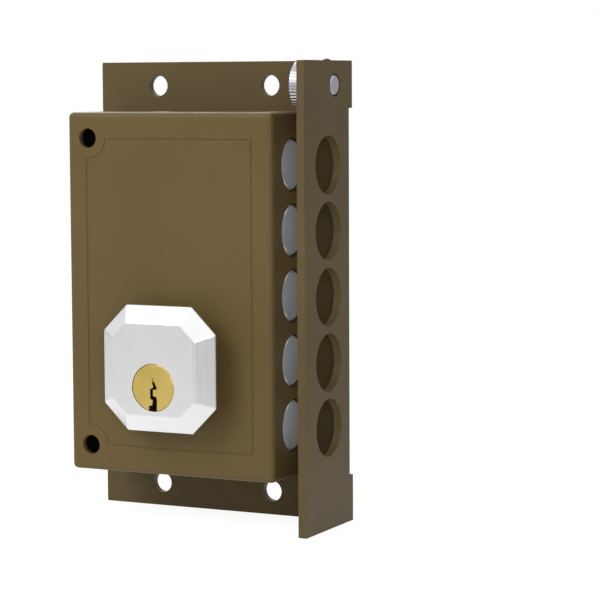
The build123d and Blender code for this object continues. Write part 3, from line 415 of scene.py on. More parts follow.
class Graph:
    """Node tree that is built up by name."""

    def __init__(self, tree: bpy.types.NodeTree) -> None:
        """Takes a tree over."""
        self.tree = tree

    def feed(self, node: bpy.types.Node, inputs: Inputs) -> None:
        """Links or sets a node's inputs.

        Args:
            node: The node.
            inputs: Sockets to link and values to set, by the input's name or number.
        """
        for name, value in inputs.items():
            if isinstance(value, Socket):
                self.tree.links.new(value, node.inputs[name])
            else:
                node.inputs[name].default_value = value

    def node(self, kind: str, inputs: Inputs, **settings: object) -> bpy.types.Node:
        """Adds a node.

        Args:
            kind: Its type, without the common prefix.
            inputs: Sockets to link and values to set, by the input's name or number.
            settings: The node's own settings.

        Returns:
            The node.
        """
        made = self.tree.nodes.new("ShaderNode" + kind)
        for name, value in settings.items():
            setattr(made, name, value)
        self.feed(made, inputs)
        return made

    def level(self, value: Socket, low: object, high: object, span: Point = (0.0, 1.0)) -> Socket:
        """Runs from low to high, each a number or a socket, as a value crosses a span."""
        inputs = {"Value": value, "From Min": span[0], "From Max": span[1], "To Min": low, "To Max": high}
        return self.node("MapRange", inputs).outputs["Result"]

    def greater(self, first: Socket, second: Socket) -> Socket:
        """The greater of two values."""
        return self.node("Math", {0: first, 1: second}, operation="MAXIMUM").outputs[0]

    def seen(self, *kinds: str) -> Socket:
        """One where any of the named kinds of ray looks, else nought."""
        path = self.node("LightPath", {})
        return functools.reduce(self.greater, [path.outputs[kind] for kind in kinds])


class Recipe(Graph):
    """Node tree of one finish, built up round its shader."""

    def __init__(self, name: str) -> None:
        """Starts a material that holds its shader and the place on the piece, in metres.

        Args:
            name: Name of the material.
        """
        self.material = bpy.data.materials.new(name)
        self.material.use_nodes = True
        super().__init__(self.material.node_tree)
        self.shader = self.tree.nodes["Principled BSDF"]
        self.where = self.node("TexCoord", {}).outputs["Object"]

    def along(self, axis: Axis) -> Socket:
        """Distance along an axis."""
        made = self.node("VectorMath", {0: self.where, 1: axis.step}, operation="DOT_PRODUCT")
        return made.outputs["Value"]

    def reach(self, axis: Axis, centre: Point) -> Socket:
        """Distance from a line along an axis.

        Args:
            axis: Direction of the line.
            centre: The line's other two coordinates, in millimetres.

        Returns:
            The distance in metres.
        """
        shift, flat = axis.spot(0.0, centre) * -MM, axis.spot(0.0, (1.0, 1.0))
        moved = self.node("Mapping", {"Vector": self.where, "Location": shift, "Scale": flat})
        return self.node("VectorMath", {0: moved.outputs["Vector"]}, operation="LENGTH").outputs["Value"]

    def noise(self, size: float, detail: float = 3.0, where: Socket | None = None) -> Socket:
        """Soft noise whose spots are about a size in millimetres, on the piece or other coordinates."""
        place = self.where if where is None else where
        inputs = {"Vector": place, "Scale": 1 / (size * MM), "Detail": detail}
        return self.node("TexNoise", inputs).outputs["Fac"]

    def blend(self, value: Socket, dark: Colour, light: Colour) -> Socket:
        """Runs from one colour to another over the middle of a noise.

        Args:
            value: The noise.
            dark: Colour at its low end.
            light: Colour at its high end.

        Returns:
            The colour.
        """
        made = self.node("ValToRGB", {"Fac": value})
        for stop, place, colour in zip(made.color_ramp.elements, NOISE_SPAN, (dark, light)):
            stop.position = place
            stop.color = (*colour, 1.0)
        return made.outputs["Color"]

    def mixed(self, share: Socket, first: object, second: object) -> Socket:
        """Mixes two colours."""
        return self.node("MixRGB", {"Fac": share, "Color1": first, "Color2": second}).outputs["Color"]

    def bump(self, height: Socket, depth: float, **below: Socket) -> Socket:
        """Normal of a relief of a depth in millimetres, over another Normal if given."""
        inputs = {"Height": height, "Distance": depth * MM, "Strength": 1.0, **below}
        return self.node("Bump", inputs).outputs["Normal"]


@dataclass(frozen=True)
class Finish:
    """What all finishes share."""

    name: str
    dark: Colour
    light: Colour
    roughness: float

    def material(self) -> bpy.types.Material:
        """Makes the material, or finds the one made before.

        Returns:
            The material.
        """
        found = bpy.data.materials.get(self.name)
        if found is not None:
            return found
        recipe = Recipe(self.name)
        self.cook(recipe)
        return recipe.material

    def rough(self, recipe: Recipe, value: Socket, swing: float) -> Socket:
        """Roughness that swings with a noise."""
        return recipe.level(value, self.roughness - swing, self.roughness + swing, NOISE_SPAN)

    def cook(self, recipe: Recipe) -> None:
        """Fills the recipe."""
        raise NotImplementedError


@dataclass(frozen=True)
class Enamel(Finish):
    """Satin stove enamel on sheet steel, with a fine orange peel."""

    cloud_size: float = 34.0
    peel_size: float = 0.9
    peel_depth: float = 0.012
    grain_size: float = 0.16
    grain_depth: float = 0.003
    grain_detail: float = 1.0
    roughness_swing: float = 0.05
    specular: float = 0.16

    def cook(self, recipe: Recipe) -> None:
        """Clouds in the colour, peel and grain in the relief.

        Args:
            recipe: The recipe that it fills.
        """
        clouds, peel = recipe.noise(self.cloud_size), recipe.noise(self.peel_size)
        grain = recipe.noise(self.grain_size, self.grain_detail)
        recipe.feed(recipe.shader, {
            "Base Color": recipe.blend(clouds, self.dark, self.light),
            "Roughness": self.rough(recipe, peel, self.roughness_swing),
            "Normal": recipe.bump(grain, self.grain_depth, Normal=recipe.bump(peel, self.peel_depth)),
            "Specular IOR Level": self.specular,
        })


@dataclass(frozen=True)
class Metal(Finish):
    """Bare or plated metal with the marks of its making."""

    marks: Marks = Marks.PLATED
    axis: Axis = Axis.X
    centre: Point = (0.0, 0.0)
    mark_size: float = 0.25
    mark_depth: float = 0.004
    mark_detail: float = 2.0
    roughness_swing: float = 0.06
    stretch: float = 60.0
    cloud_size: float = 9.0
    metallic: float = 1.0

    def marked_place(self, recipe: Recipe) -> Socket:
        """Coordinates along which the marks run.

        Args:
            recipe: The recipe that it adds to.

        Returns:
            The coordinates.
        """
        if self.marks is Marks.PLATED:
            return recipe.where
        if self.marks is Marks.BRUSHED:
            scale = self.axis.spot(1 / self.stretch, (1.0, 1.0))
            return recipe.node("Mapping", {"Vector": recipe.where, "Scale": scale}).outputs["Vector"]
        rings = {"X": recipe.reach(self.axis, self.centre), "Y": recipe.along(self.axis)}
        return recipe.node("CombineXYZ", rings).outputs["Vector"]

    def tone(self, recipe: Recipe, clouds: Socket) -> Socket:
        """Colour, with its clouds."""
        return recipe.blend(clouds, self.dark, self.light)

    def cook(self, recipe: Recipe) -> None:
        """Clouds in the tone, marks in relief and roughness.

        Args:
            recipe: The recipe that it fills.
        """
        lines = recipe.noise(self.mark_size, self.mark_detail, self.marked_place(recipe))
        recipe.feed(recipe.shader, {
            "Base Color": self.tone(recipe, recipe.noise(self.cloud_size)),
            "Metallic": self.metallic,
            "Roughness": self.rough(recipe, lines, self.roughness_swing),
            "Normal": recipe.bump(lines, self.mark_depth),
        })


@dataclass(frozen=True)
class TwoToneMetal(Metal):
    """Metal whose tone changes past a place on its axis, or past a radius round it."""

    # The near-white default second tone is a painted highlight; the bolts' rims take it.
    second_dark: Colour = (0.95, 0.96, 0.97)
    second_light: Colour = (0.95, 0.96, 0.97)
    change: float = 0.0
    blur: float = 0.3
    radial: bool = False

    def tone(self, recipe: Recipe, clouds: Socket) -> Socket:
        """Runs from the first tone to the second.

        Args:
            recipe: The recipe that it adds to.
            clouds: Noise of the clouds.

        Returns:
            The colour.
        """
        value = recipe.reach(self.axis, self.centre) if self.radial else recipe.along(self.axis)
        share = recipe.level(value, 0.0, 1.0, (self.change * MM, (self.change + self.blur) * MM))
        second = recipe.blend(clouds, self.second_dark, self.second_light)
        return recipe.mixed(share, super().tone(recipe, clouds), second)


PLATE_ENAMEL = Enamel("plate_enamel", (0.098, 0.070, 0.028), (0.112, 0.080, 0.033), 0.46)
COVER_ENAMEL = Enamel("cover_enamel", (0.118, 0.080, 0.028), (0.132, 0.091, 0.034), 0.44)
KNOB_CHROME = Metal(
    "knob_chrome", (0.78, 0.78, 0.79), (0.82, 0.82, 0.83), 0.24, Marks.BRUSHED, Axis.Z,
    mark_size=0.4, mark_depth=0.0012, roughness_swing=0.03,
)
# Bolt ends: ground steel, with a near-white painted highlight on the rim past 7 mm from each bolt's axis.
BOLT_STEEL_WITH_PAINTED_HIGHLIGHT = TwoToneMetal(
    "ground_steel", (0.60, 0.63, 0.68), (0.68, 0.71, 0.76), 0.38, Marks.TURNED, Axis.X,
    mark_size=0.35, metallic=0.5, change=7.0, blur=0.15, radial=True,
)
NICKEL = Metal("nickel_plate", (0.62, 0.58, 0.49), (0.72, 0.68, 0.58), 0.20, mark_size=1.2)
PLUG_BRASS = Metal("turned_brass", (0.61, 0.45, 0.12), (0.69, 0.515, 0.15), 0.28, Marks.TURNED, Axis.Y)
BARREL_BRASS = TwoToneMetal(
    "barrel_brass", (0.30, 0.25, 0.17), (0.40, 0.34, 0.24), 0.24, Marks.BRUSHED, Axis.Y,
    second_dark=(0.56, 0.41, 0.08), second_light=(0.64, 0.475, 0.10), change=55.6,
)
# Near-black painted shade for pieces seen only deep in holes, not a finish of theirs.
PAINTED_SHADE_BLACK = Metal("blackened_steel", (0.015, 0.014, 0.012), (0.03, 0.028, 0.024), 0.55)
DULL_STEEL = Metal("dull_steel", (0.13, 0.12, 0.10), (0.18, 0.17, 0.14), 0.42)
INNER_BRASS = Metal("inner_brass", (0.66, 0.48, 0.18), (0.74, 0.56, 0.22), 0.30)
ZINC = Metal("zinc_plate", (0.60, 0.60, 0.60), (0.70, 0.70, 0.70), 0.32, mark_size=0.6)
SCREW_ZINC = Metal("screw_zinc", (0.44, 0.43, 0.43), (0.56, 0.55, 0.55), 0.28, mark_size=0.8)
SPRING = Metal("spring_wire", (0.40, 0.40, 0.42), (0.48, 0.48, 0.50), 0.34, mark_size=0.3)
DRUM_STEEL = Metal(
    "drum_steel", (0.40, 0.40, 0.44), (0.48, 0.48, 0.52), 0.34, Marks.BRUSHED, Axis.X,
    mark_size=0.3, metallic=0.8,
)

SLOT_FINISHES: dict[str, Finish] = {
    "bronze_paint_plate": PLATE_ENAMEL,
    "bronze_paint_cover": COVER_ENAMEL,
    "bolt_steel": BOLT_STEEL_WITH_PAINTED_HIGHLIGHT,
    "knob_metal": KNOB_CHROME,
    "plug_brass": PLUG_BRASS,
    "cylinder_brass": BARREL_BRASS,
    "pin_brass": INNER_BRASS,
    "bush_brass": INNER_BRASS,
    "nickel": NICKEL,
    "zinc_steel": ZINC,
    "zinc_screw": SCREW_ZINC,
    "spring_steel": SPRING,
    "thumb_metal": DRUM_STEEL,
}

# What shows only through a hole is dressed near black: painted shade for the dark inside of the lock.
PAINTED_SHADE_NODES = (
    "door_screw_sleeves", "talon_plate", "talon_rivets", "rack", "carriage_bar", "middle_guide",
    "front_guide",
)

BOLTS = tuple(f"bolt_{number}" for number in range(1, 6))


def node_box(node: str) -> tuple[Vector, Vector]:
    """Lowest and highest corner of a node, in millimetres."""
    low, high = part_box(node)
    return low / MM, high / MM


def node_middle(node: str) -> Vector:
    """Middle of a node, in millimetres."""
    low, high = node_box(node)
    return (low + high) / 2


@dataclass
class Casing:
    """What the plate and the cover share: a wall, a box and the holes that line up."""

    node: str
    wall: float
    bolt_hole: float
    through_hole: float = 6.0
    through_x: float = -28.8
    through_spacing: float = 96.0
    screw_hole: float = 4.1
    screw_places: tuple[Point, ...] = ((22.4, 23.6), (22.4, -44.1), (-24.7, 0.0))
    low: Vector = field(init=False)
    high: Vector = field(init=False)

    def __post_init__(self) -> None:
        """Reads the piece's box."""
        self.low, self.high = node_box(self.node)

    def through_places(self) -> list[Point]:
        """Where the long door screws pass."""
        return [(self.through_x, way * self.through_spacing / 2) for way in (-1, 1)]

    def hole(self, across: Point, width: float, back: float = 0.0) -> Shape:
        """Round hole through a wall whose back lies at a place on Y."""
        return Shape.rod(Axis.Y, across, back - self.wall - PAST, back + PAST, width / 2)

    def side_hole(self, node: str, width: float) -> Shape:
        """Round hole through the wall at the door's edge, in line with a node."""
        end = self.high.x
        return Shape.rod(Axis.X, tuple(node_middle(node).yz), end - self.wall - PAST, end + PAST, width / 2)


@dataclass
class DoorPlate(Casing):
    """Bent sheet that carries the lock, with its flange at the door's edge."""

    node: str = "base_plate"
    wall: float = 2.5
    bolt_hole: float = 17.8
    corner: float = 0.5
    bend_radius: float = 3.0
    bend_height: float = 114.0
    door_hole: float = 6.5
    door_hole_spacing: Point = (39.8, 128.0)
    pin_hole: float = 7.0
    opening: float = 17.8
    slot_width: float = 10.0
    slot_offset: float = 2.6
    slot_top: float = 3.0
    dish: float = 13.0
    dish_floor: float = 7.6
    dish_depth: float = 1.5
    screw_shank: float = 4.0
    screw_length: float = 5.0
    screw_edge: float = 0.08
    # Height over its seat and radius of each point of a screw's head.
    screw_head: tuple[Point, ...] = (
        (0.0, 3.25), (0.15, 3.4), (0.55, 3.4), (0.95, 3.128), (1.2, 2.584), (1.35, 1.768), (1.4, 0.85),
    )
    recess_width: float = 1.1
    recess_depth: float = 0.9
    edge: float = 0.28
    fixing_places: tuple[Point, ...] = ((-11.1, -23.1), (11.9, -23.1))
    fixing_hole: float = 3.1

    def bend_cutter(self) -> Shape:
        """What the bend leaves out of the corner.

        Returns:
            The cutter.
        """
        x, r = self.high.x, self.bend_radius
        outline = [(x - r, PAST), (x + PAST, PAST), (x + PAST, -r)]
        outline += arc((x - r, -r), r, 0.0, 90.0, steps=12)
        return Shape.slab(outline, Axis.Z, -self.bend_height / 2, self.bend_height / 2)

    def dish_cutter(self, across: Point) -> Shape:
        """Dished seat of a cover screw, in the plate's back.

        Args:
            across: The screw's place.

        Returns:
            The cutter.
        """
        slope = (self.dish - self.dish_floor) / 2 / self.dish_depth
        profile = [(-self.dish_depth, self.dish_floor / 2), (PAST, self.dish / 2 + slope * PAST)]
        return Shape.turned(profile, Axis.Y, across)

    def slot_cutter(self, axis_x: float, axis_z: float) -> Shape:
        """Slot over the cylinder's opening, for its lug.

        Args:
            axis_x: The cylinder's axis on X.
            axis_z: And on Z.

        Returns:
            The cutter.
        """
        x, half = axis_x - self.slot_offset, self.slot_width / 2
        outline = arc((x, self.slot_top - half), half, 0.0, 180.0, steps=32)
        outline += [(x - half, axis_z), (x + half, axis_z)]
        return Shape.slab(outline, Axis.Y, -self.wall - PAST, PAST)

    def sheet(self) -> Shape:
        """Plate and flange with all their holes.

        Returns:
            The bent sheet.
        """
        low, high = self.low, self.high
        plate = Shape.block((low.x, -self.wall, low.z), (high.x, 0.0, high.z))
        plate.bevel(self.corner, 5, lambda e: runs(e, Axis.Y) and middle(e).x < low.x + NEAR)
        flange = Shape.block((high.x - self.wall, low.y, low.z), (high.x, 0.0, high.z))
        flange.bevel(self.corner, 5, lambda e: runs(e, Axis.X) and middle(e).y < low.y + NEAR)
        plate.add(flange).cut(self.bend_cutter())
        half_x, half_z = (spacing / 2 for spacing in self.door_hole_spacing)
        for x in (-half_x, half_x):
            plate.cut(*(self.hole((x, z), self.door_hole) for z in (-half_z, half_z)))
        plate.cut(*(self.hole(place, self.through_hole) for place in self.through_places()))
        for place in self.screw_places:
            plate.cut(self.dish_cutter(place), self.hole(place, self.screw_hole))
        plate.cut(*(self.side_hole(bolt, self.bolt_hole) for bolt in BOLTS))
        plate.cut(self.side_hole("thumb_washer", self.pin_hole))
        plug_low, plug_high = node_box("outer_plug")
        axis_x = node_middle("outer_cylinder_body").x
        axis_z = plug_high.z - (plug_high.x - plug_low.x) / 2
        plate.cut(
            self.hole((axis_x, axis_z), self.opening), self.slot_cutter(axis_x, axis_z),
            *(self.hole(place, self.fixing_hole) for place in self.fixing_places),
        )
        return plate.soften(self.edge)

    def screw(self, across: Point) -> Shape:
        """Pan-head screw with a cross recess.

        Args:
            across: The screw's place.

        Returns:
            The screw.
        """
        seat = -self.dish_depth
        top = seat + self.screw_head[-1][0]
        foot, shank = top - self.screw_length, self.screw_shank / 2
        profile = [(foot, shank), (seat, shank)]
        profile += [(seat + rise, radius) for rise, radius in self.screw_head]
        made = Shape.turned(profile, Axis.Y, across, SCREW_STEPS)
        x, z = across
        for wide, tall in ((self.screw_shank, self.recess_width), (self.recess_width, self.screw_shank)):
            made.cut(Shape.block(
                (x - wide / 2, top - self.recess_depth, z - tall / 2),
                (x + wide / 2, top + PAST, z + tall / 2),
            ))
        return made.soften(self.screw_edge, 1, TURNED_ANGLE)

    def build(self) -> None:
        """Makes the sheet and its three screws."""
        self.sheet().piece("plate_sheet", PLATE_ENAMEL, "lock_case", "bronze_paint_plate", ["base_plate"])
        screws = self.screw(self.screw_places[0])
        for place in self.screw_places[1:]:
            screws.add(self.screw(place))
        screws.piece("plate_pan_screws", SCREW_ZINC, "lock_case", "zinc_screw", ["cover_screws"])


@dataclass
class BoxCover(Casing):
    """Box that hides the works, with a panel line pressed into its front."""

    node: str = "cover"
    wall: float = 2.0
    bolt_hole: float = 16.6
    rounding: float = 1.65
    bush_hole: float = 29.32
    panel_inset_left: float = 6.8
    panel_inset_right: float = 7.1
    panel_inset_top: float = 8.3
    panel_bite: float = 6.4
    line_width: float = 0.7
    line_depth: float = 0.28
    tab_length: float = 16.0
    tab_height: float = 13.0
    # Height of each screw tab, and whether it is on the right.
    tab_places: tuple[tuple[float, bool], ...] = ((23.6, True), (-44.1, True), (2.5, False))
    edge: float = 0.22

    def panel_outline(self, grow: float) -> list[Point]:
        """Outline of the panel, bitten round the two through holes.

        Args:
            grow: How far it is moved outwards.

        Returns:
            Its corners.
        """
        left = self.low.x + self.panel_inset_left - grow
        right = self.high.x - self.panel_inset_right + grow
        top = self.high.z - self.panel_inset_top + grow
        bite = self.panel_bite - grow
        hole_z = self.through_spacing / 2
        dip = math.sqrt(bite**2 - (self.through_x - left) ** 2)
        lean = math.sqrt(bite**2 - (hole_z - top) ** 2)
        start = math.degrees(math.atan2(top - hole_z, lean))
        end = math.degrees(math.atan2(-dip, left - self.through_x))
        upper = arc((self.through_x, hole_z), bite, start, end, steps=20)
        lower = [(x, -z) for x, z in reversed(upper)]
        return [(right, -top), (right, top)] + upper + lower

    def line_cutter(self) -> Shape:
        """Groove along the panel's outline.

        Returns:
            The cutter.
        """
        front, floor = self.low.y - PAST, self.low.y + self.line_depth
        wide, narrow = self.line_width / 2 + PAST / 2, self.line_width / 4
        return Shape.lofted([
            (front, self.panel_outline(wide)), (floor, self.panel_outline(narrow)),
            (floor, self.panel_outline(-narrow)), (front, self.panel_outline(-wide)),
        ], Axis.Y, ring=True)

    def tab(self, height: float, at_right: bool) -> Shape:
        """Tab at the cover's back that a cover screw holds.

        Args:
            height: Its middle on Z.
            at_right: True where it stands on the wall at the door's edge.

        Returns:
            The tab.
        """
        near = self.high.x - self.wall / 2 if at_right else self.low.x + self.wall / 2
        far = near - self.tab_length if at_right else near + self.tab_length
        return Shape.block(
            (min(near, far), self.high.y - self.wall, height - self.tab_height / 2),
            (max(near, far), self.high.y, height + self.tab_height / 2),
        )

    def shell(self) -> Shape:
        """Box with its holes, groove and screw tabs.

        Returns:
            The box.
        """
        low, high = self.low, self.high
        at_front = beyond(low.y, -1)
        box = Shape.block(low, high)
        box.bevel(self.rounding, 5, lambda e: runs(e, Axis.Y) or at_front(e))
        inner_low = low + Vector((self.wall, self.wall, self.wall))
        inner_high = high + Vector((-self.wall, PAST, -self.wall))
        box.cut(self.line_cutter(), Shape.block(inner_low, inner_high))
        box.add(*(self.tab(height, at_right) for height, at_right in self.tab_places))
        box.cut(*(self.hole(place, self.screw_hole, high.y) for place in self.screw_places))
        box.cut(*(self.side_hole(bolt, self.bolt_hole) for bolt in BOLTS))
        front = low.y + self.wall
        box.cut(*(self.hole(place, self.through_hole, front) for place in self.through_places()))
        bush = node_middle("knob_bush")
        box.cut(self.hole((bush.x, bush.z), self.bush_hole, front))
        return box.soften(self.edge)

    def build(self) -> None:
        """Makes the cover."""
        self.shell().piece("box_cover", COVER_ENAMEL, "lock_case", "bronze_paint_cover", ["cover"])


# Corners of a keyway, across in shares of its width and down in shares of its height.
KEYWAY: tuple[Point, ...] = (
    (-0.10, 0.00), (0.14, 0.00), (0.22, 0.12), (0.45, 0.27), (0.45, 0.33),
    (0.02, 0.34), (0.02, 0.54), (0.38, 0.56), (0.50, 0.64), (0.46, 1.05),
    (-0.48, 1.05), (-0.48, 0.86), (-0.08, 0.82), (-0.02, 0.68), (-0.32, 0.62),
    (-0.32, 0.32), (-0.04, 0.30), (0.05, 0.24), (-0.08, 0.14),
)


@dataclass
class KeyPlug:
    """Round plug with a warded keyway."""

    node: str
    name: str
    body: str
    faces_room: bool
    keyway_end: float
    tail_length: float = 0.0
    tail_radius: float = 4.0
    radius: float = 7.25
    face_edge: float = 0.3
    ring_radius: float = 6.2
    ring_width: float = 0.2
    ring_depth: float = 0.02
    keyway_width: float = 2.9
    keyway_height: float = 9.8
    keyway_top: float = 2.8
    edge: float = 0.12

    def profile(self, face: float, inner: float) -> list[Point]:
        """Half section of the plug.

        Args:
            face: Where its face lies on Y.
            inner: Where its other end lies.

        Returns:
            Place on the axis and radius of each corner.
        """
        inward = math.copysign(1.0, inner - face)
        ring, body, neck = self.ring_radius, self.radius, inner - inward * self.tail_length
        points = [
            (face, ring - self.ring_width), (face + inward * self.ring_depth, ring),
            (face, ring + self.ring_width), (face, body - self.face_edge),
            (face + inward * self.face_edge, body), (neck, body),
        ]
        if self.tail_length:
            points += [(neck, self.tail_radius), (inner, self.tail_radius)]
        return points

    def build(self) -> None:
        """Turns the plug and cuts its keyway."""
        low, high = node_box(self.node)
        x, z = (low.x + high.x) / 2, high.z - self.radius
        face, inner = (low.y, high.y) if self.faces_room else (high.y, low.y)
        inward = 1 if self.faces_room else -1
        plug = Shape.turned(self.profile(face, inner), Axis.Y, (x, z))
        outline = [
            (x + inward * self.keyway_width * across, z + self.keyway_top - self.keyway_height * down)
            for across, down in KEYWAY
        ]
        plug.cut(Shape.slab(outline, Axis.Y, *sorted((face - inward * PAST, self.keyway_end))))
        plug.soften(self.edge, 2, TURNED_ANGLE)
        finish = dataclasses.replace(PLUG_BRASS, name=self.name + "_brass", centre=(x, z))
        plug.piece(self.name, finish, self.body, "plug_brass", [self.node])


@dataclass
class BevelledKnob:
    """Eight-sided knob with a bevelled front and a round hub."""

    size: float = 39.0
    corner_cut: float = 8.2
    face_size: float = 28.5
    face_corner_cut: float = 4.9
    bevel_depth: float = 4.2
    band: float = 0.9
    hub_radius: float = 13.5
    plug_radius: float = 7.3
    plug_drop: float = 5.3
    plug_floor: float = 0.55
    mouth: float = 0.1
    pin_bore: float = 0.85
    pin_y: float = -28.95
    edge: float = 0.5
    least_angle: float = 12.0

    def octagon(self, centre: Point, size: float, cut: float) -> list[Point]:
        """Square outline with its corners cut.

        Args:
            centre: Its middle.
            size: Width of the square.
            cut: How much each corner loses on each side.

        Returns:
            Its corners.
        """
        half, inner = size / 2, size / 2 - cut
        corners = [(-inner, half), (inner, half), (half, inner), (half, -inner)]
        corners += [(-x, -z) for x, z in corners]
        return [(centre[0] + x, centre[1] + z) for x, z in corners]

    def build(self) -> None:
        """Casts knob and hub in one."""
        low, high = node_box("knob")
        centre = ((low.x + high.x) / 2, (low.z + high.z) / 2)
        face, hub_back = low.y, high.y
        shoulder = face + self.bevel_depth
        back = shoulder + self.band
        knob = Shape.lofted([
            (face, self.octagon(centre, self.face_size, self.face_corner_cut)),
            (shoulder, self.octagon(centre, self.size, self.corner_cut)),
            (back, self.octagon(centre, self.size, self.corner_cut)),
        ], Axis.Y)
        knob.bevel(self.edge, 4, sharper(self.least_angle))
        plug_axis = (centre[0], centre[1] - self.plug_drop)
        knob.add(Shape.rod(Axis.Y, centre, back - PAST, hub_back, self.hub_radius))
        knob.cut(
            Shape.turned([
                (face - PAST, self.plug_radius + self.mouth + PAST), (face + self.mouth, self.plug_radius),
                (hub_back - self.plug_floor, self.plug_radius),
            ], Axis.Y, plug_axis),
            Shape.rod(
                Axis.Z, (centre[0], self.pin_y), plug_axis[1], centre[1] + 2 * self.hub_radius, self.pin_bore
            ),
        )
        knob.clean()
        knob.piece("bevelled_knob", KNOB_CHROME, "knob_assembly", "knob_metal", ["knob"])


@dataclass
class KeyCylinder:
    """Outer cylinder behind the plate: nickel disc and neck, brass barrel."""

    radius: float = 8.5
    fin_width: float = 7.5
    fin_height: float = 21.2
    neck_end: float = 18.0
    barrel_edge: float = 0.5
    corner_edge: float = 0.25
    mouth: float = 0.25
    disc_radius: float = 14.6
    disc_thickness: float = 2.4
    disc_rounding: float = 0.8
    disc_rise: float = 4.0
    rim: float = 1.3
    rim_height: float = 1.4
    edge: float = 0.15
    groove_width: float = 0.3
    groove_depth: float = 0.35
    plug_radius: float = 7.3
    tail_radius: float = 4.05
    tail_start: float = 1.5
    lug_width: float = 7.5
    lug_offset: float = 1.5
    lug_top: float = -1.6
    lug_length: float = 7.6
    lug_step: float = 1.0
    lug_step_height: float = 2.4
    lug_front: float = -2.0
    slit_width: float = 0.7
    slit_height: float = 5.0
    slit_depth: float = 1.2
    slit_drop: float = 6.5
    bolt_rise: float = 13.5
    bolt_head_radius: float = 2.35
    bolt_head_depth: float = 1.6
    pin_count: int = 6
    pin_pitch: float = 4.4
    pin_first: float = 5.0
    pin_radius: float = 1.52
    centre: Point = field(init=False)
    end: float = field(init=False)

    def __post_init__(self) -> None:
        """Reads the cylinder's axis and end."""
        low, high = node_box("outer_cylinder_body")
        self.centre = ((low.x + high.x) / 2, low.z + self.radius)
        self.end = high.y

    def outline(self, grow: float = 0.0) -> list[Point]:
        """Round outline with a fin on top.

        Args:
            grow: How far it is moved outwards.

        Returns:
            Its corners.
        """
        x, z = self.centre
        radius, half = self.radius + grow, self.fin_width / 2 + grow
        lean = math.degrees(math.asin(half / radius))
        top = z + self.fin_height + grow
        round_part = arc(self.centre, radius, 90.0 + lean, 450.0 - lean, steps=80)
        return round_part + [(x + half, top), (x - half, top)]

    def disc(self) -> Shape:
        """Round disc on the plate's back, with a rounded edge.

        Returns:
            The disc.
        """
        x, z = self.centre
        bend, thick = self.disc_rounding, self.disc_thickness
        edge = arc((self.disc_radius - bend, thick - bend), bend, 0.0, 90.0, steps=6)
        profile = [(0.0, self.disc_radius), *((y, radius) for radius, y in edge)]
        return Shape.turned(profile, Axis.Y, (x, z + self.disc_rise))

    def collar(self, top: float) -> Shape:
        """Raised rim round the neck, as far as the disc carries it.

        Args:
            top: Its height on Y.

        Returns:
            The rim.
        """
        x, z = self.centre
        collar = Shape.slab(self.outline(self.rim), Axis.Y, self.disc_thickness - PAST, top)
        inside = Shape.rod(
            Axis.Y, (x, z + self.disc_rise), 0.0, top + PAST, self.disc_radius - self.disc_rounding
        )
        return collar.combine(inside, Joining.KEEP).bevel(self.edge, 2, beyond(top))

    def groove(self, inner: float, top: float) -> Shape:
        """Cutter of a fine groove round the outline.

        Args:
            inner: How far outside the outline it starts.
            top: Height on Y of the face it is cut in.

        Returns:
            The cutter.
        """
        floor = top - self.groove_depth
        ring = Shape.slab(self.outline(inner + self.groove_width), Axis.Y, floor, top + PAST)
        return ring.cut(Shape.slab(self.outline(inner), Axis.Y, floor - PAST, top + 2 * PAST))

    def lug(self) -> list[Shape]:
        """Stepped lug that sits in the plate's slot.

        Returns:
            Its blocks.
        """
        x = self.centre[0] - self.lug_offset
        steps = ((-self.lug_step, self.lug_top), (PAST, self.lug_top - self.lug_step_height))
        return [
            Shape.block(
                (x - self.lug_width / 2, self.lug_front, self.lug_top - self.lug_length),
                (x + self.lug_width / 2, back, top),
            )
            for back, top in steps
        ]

    def slit(self, side: int) -> Shape:
        """Slit in one side of the fin, at the neck's end.

        Args:
            side: 1 on the side of the door's edge, else -1.

        Returns:
            The cutter.
        """
        x, top = self.centre[0] + side * self.fin_width / 2, self.centre[1] + self.fin_height - self.slit_drop
        return Shape.block(
            (x - self.slit_depth, self.neck_end - self.slit_width, top - self.slit_height),
            (x + self.slit_depth, self.neck_end + PAST, top),
        )

    def neck(self) -> Shape:
        """Disc, raised rim, neck and the lug that sits in the plate's slot.

        Returns:
            The neck.
        """
        x, z = self.centre
        rim_top = self.disc_thickness + self.rim_height
        tube = Shape.slab(self.outline(), Axis.Y, self.disc_thickness - PAST, self.neck_end)
        tube.bevel(self.edge, 2, beyond(self.neck_end))
        neck = self.disc().add(self.collar(rim_top), tube)
        neck.cut(self.groove(0.0, rim_top), self.groove(self.rim, self.disc_thickness))
        neck.add(*self.lug())
        bolt = (x, z + self.bolt_rise)
        neck.cut(
            Shape.rod(Axis.Y, self.centre, self.tail_start, self.neck_end + PAST, self.plug_radius),
            Shape.rod(Axis.Y, self.centre, -PAST, self.tail_start + PAST, self.tail_radius),
            Shape.rod(Axis.Y, bolt, self.lug_front - PAST, self.bolt_head_depth, self.bolt_head_radius),
            self.slit(-1), self.slit(1),
        )
        neck.clean()
        return neck

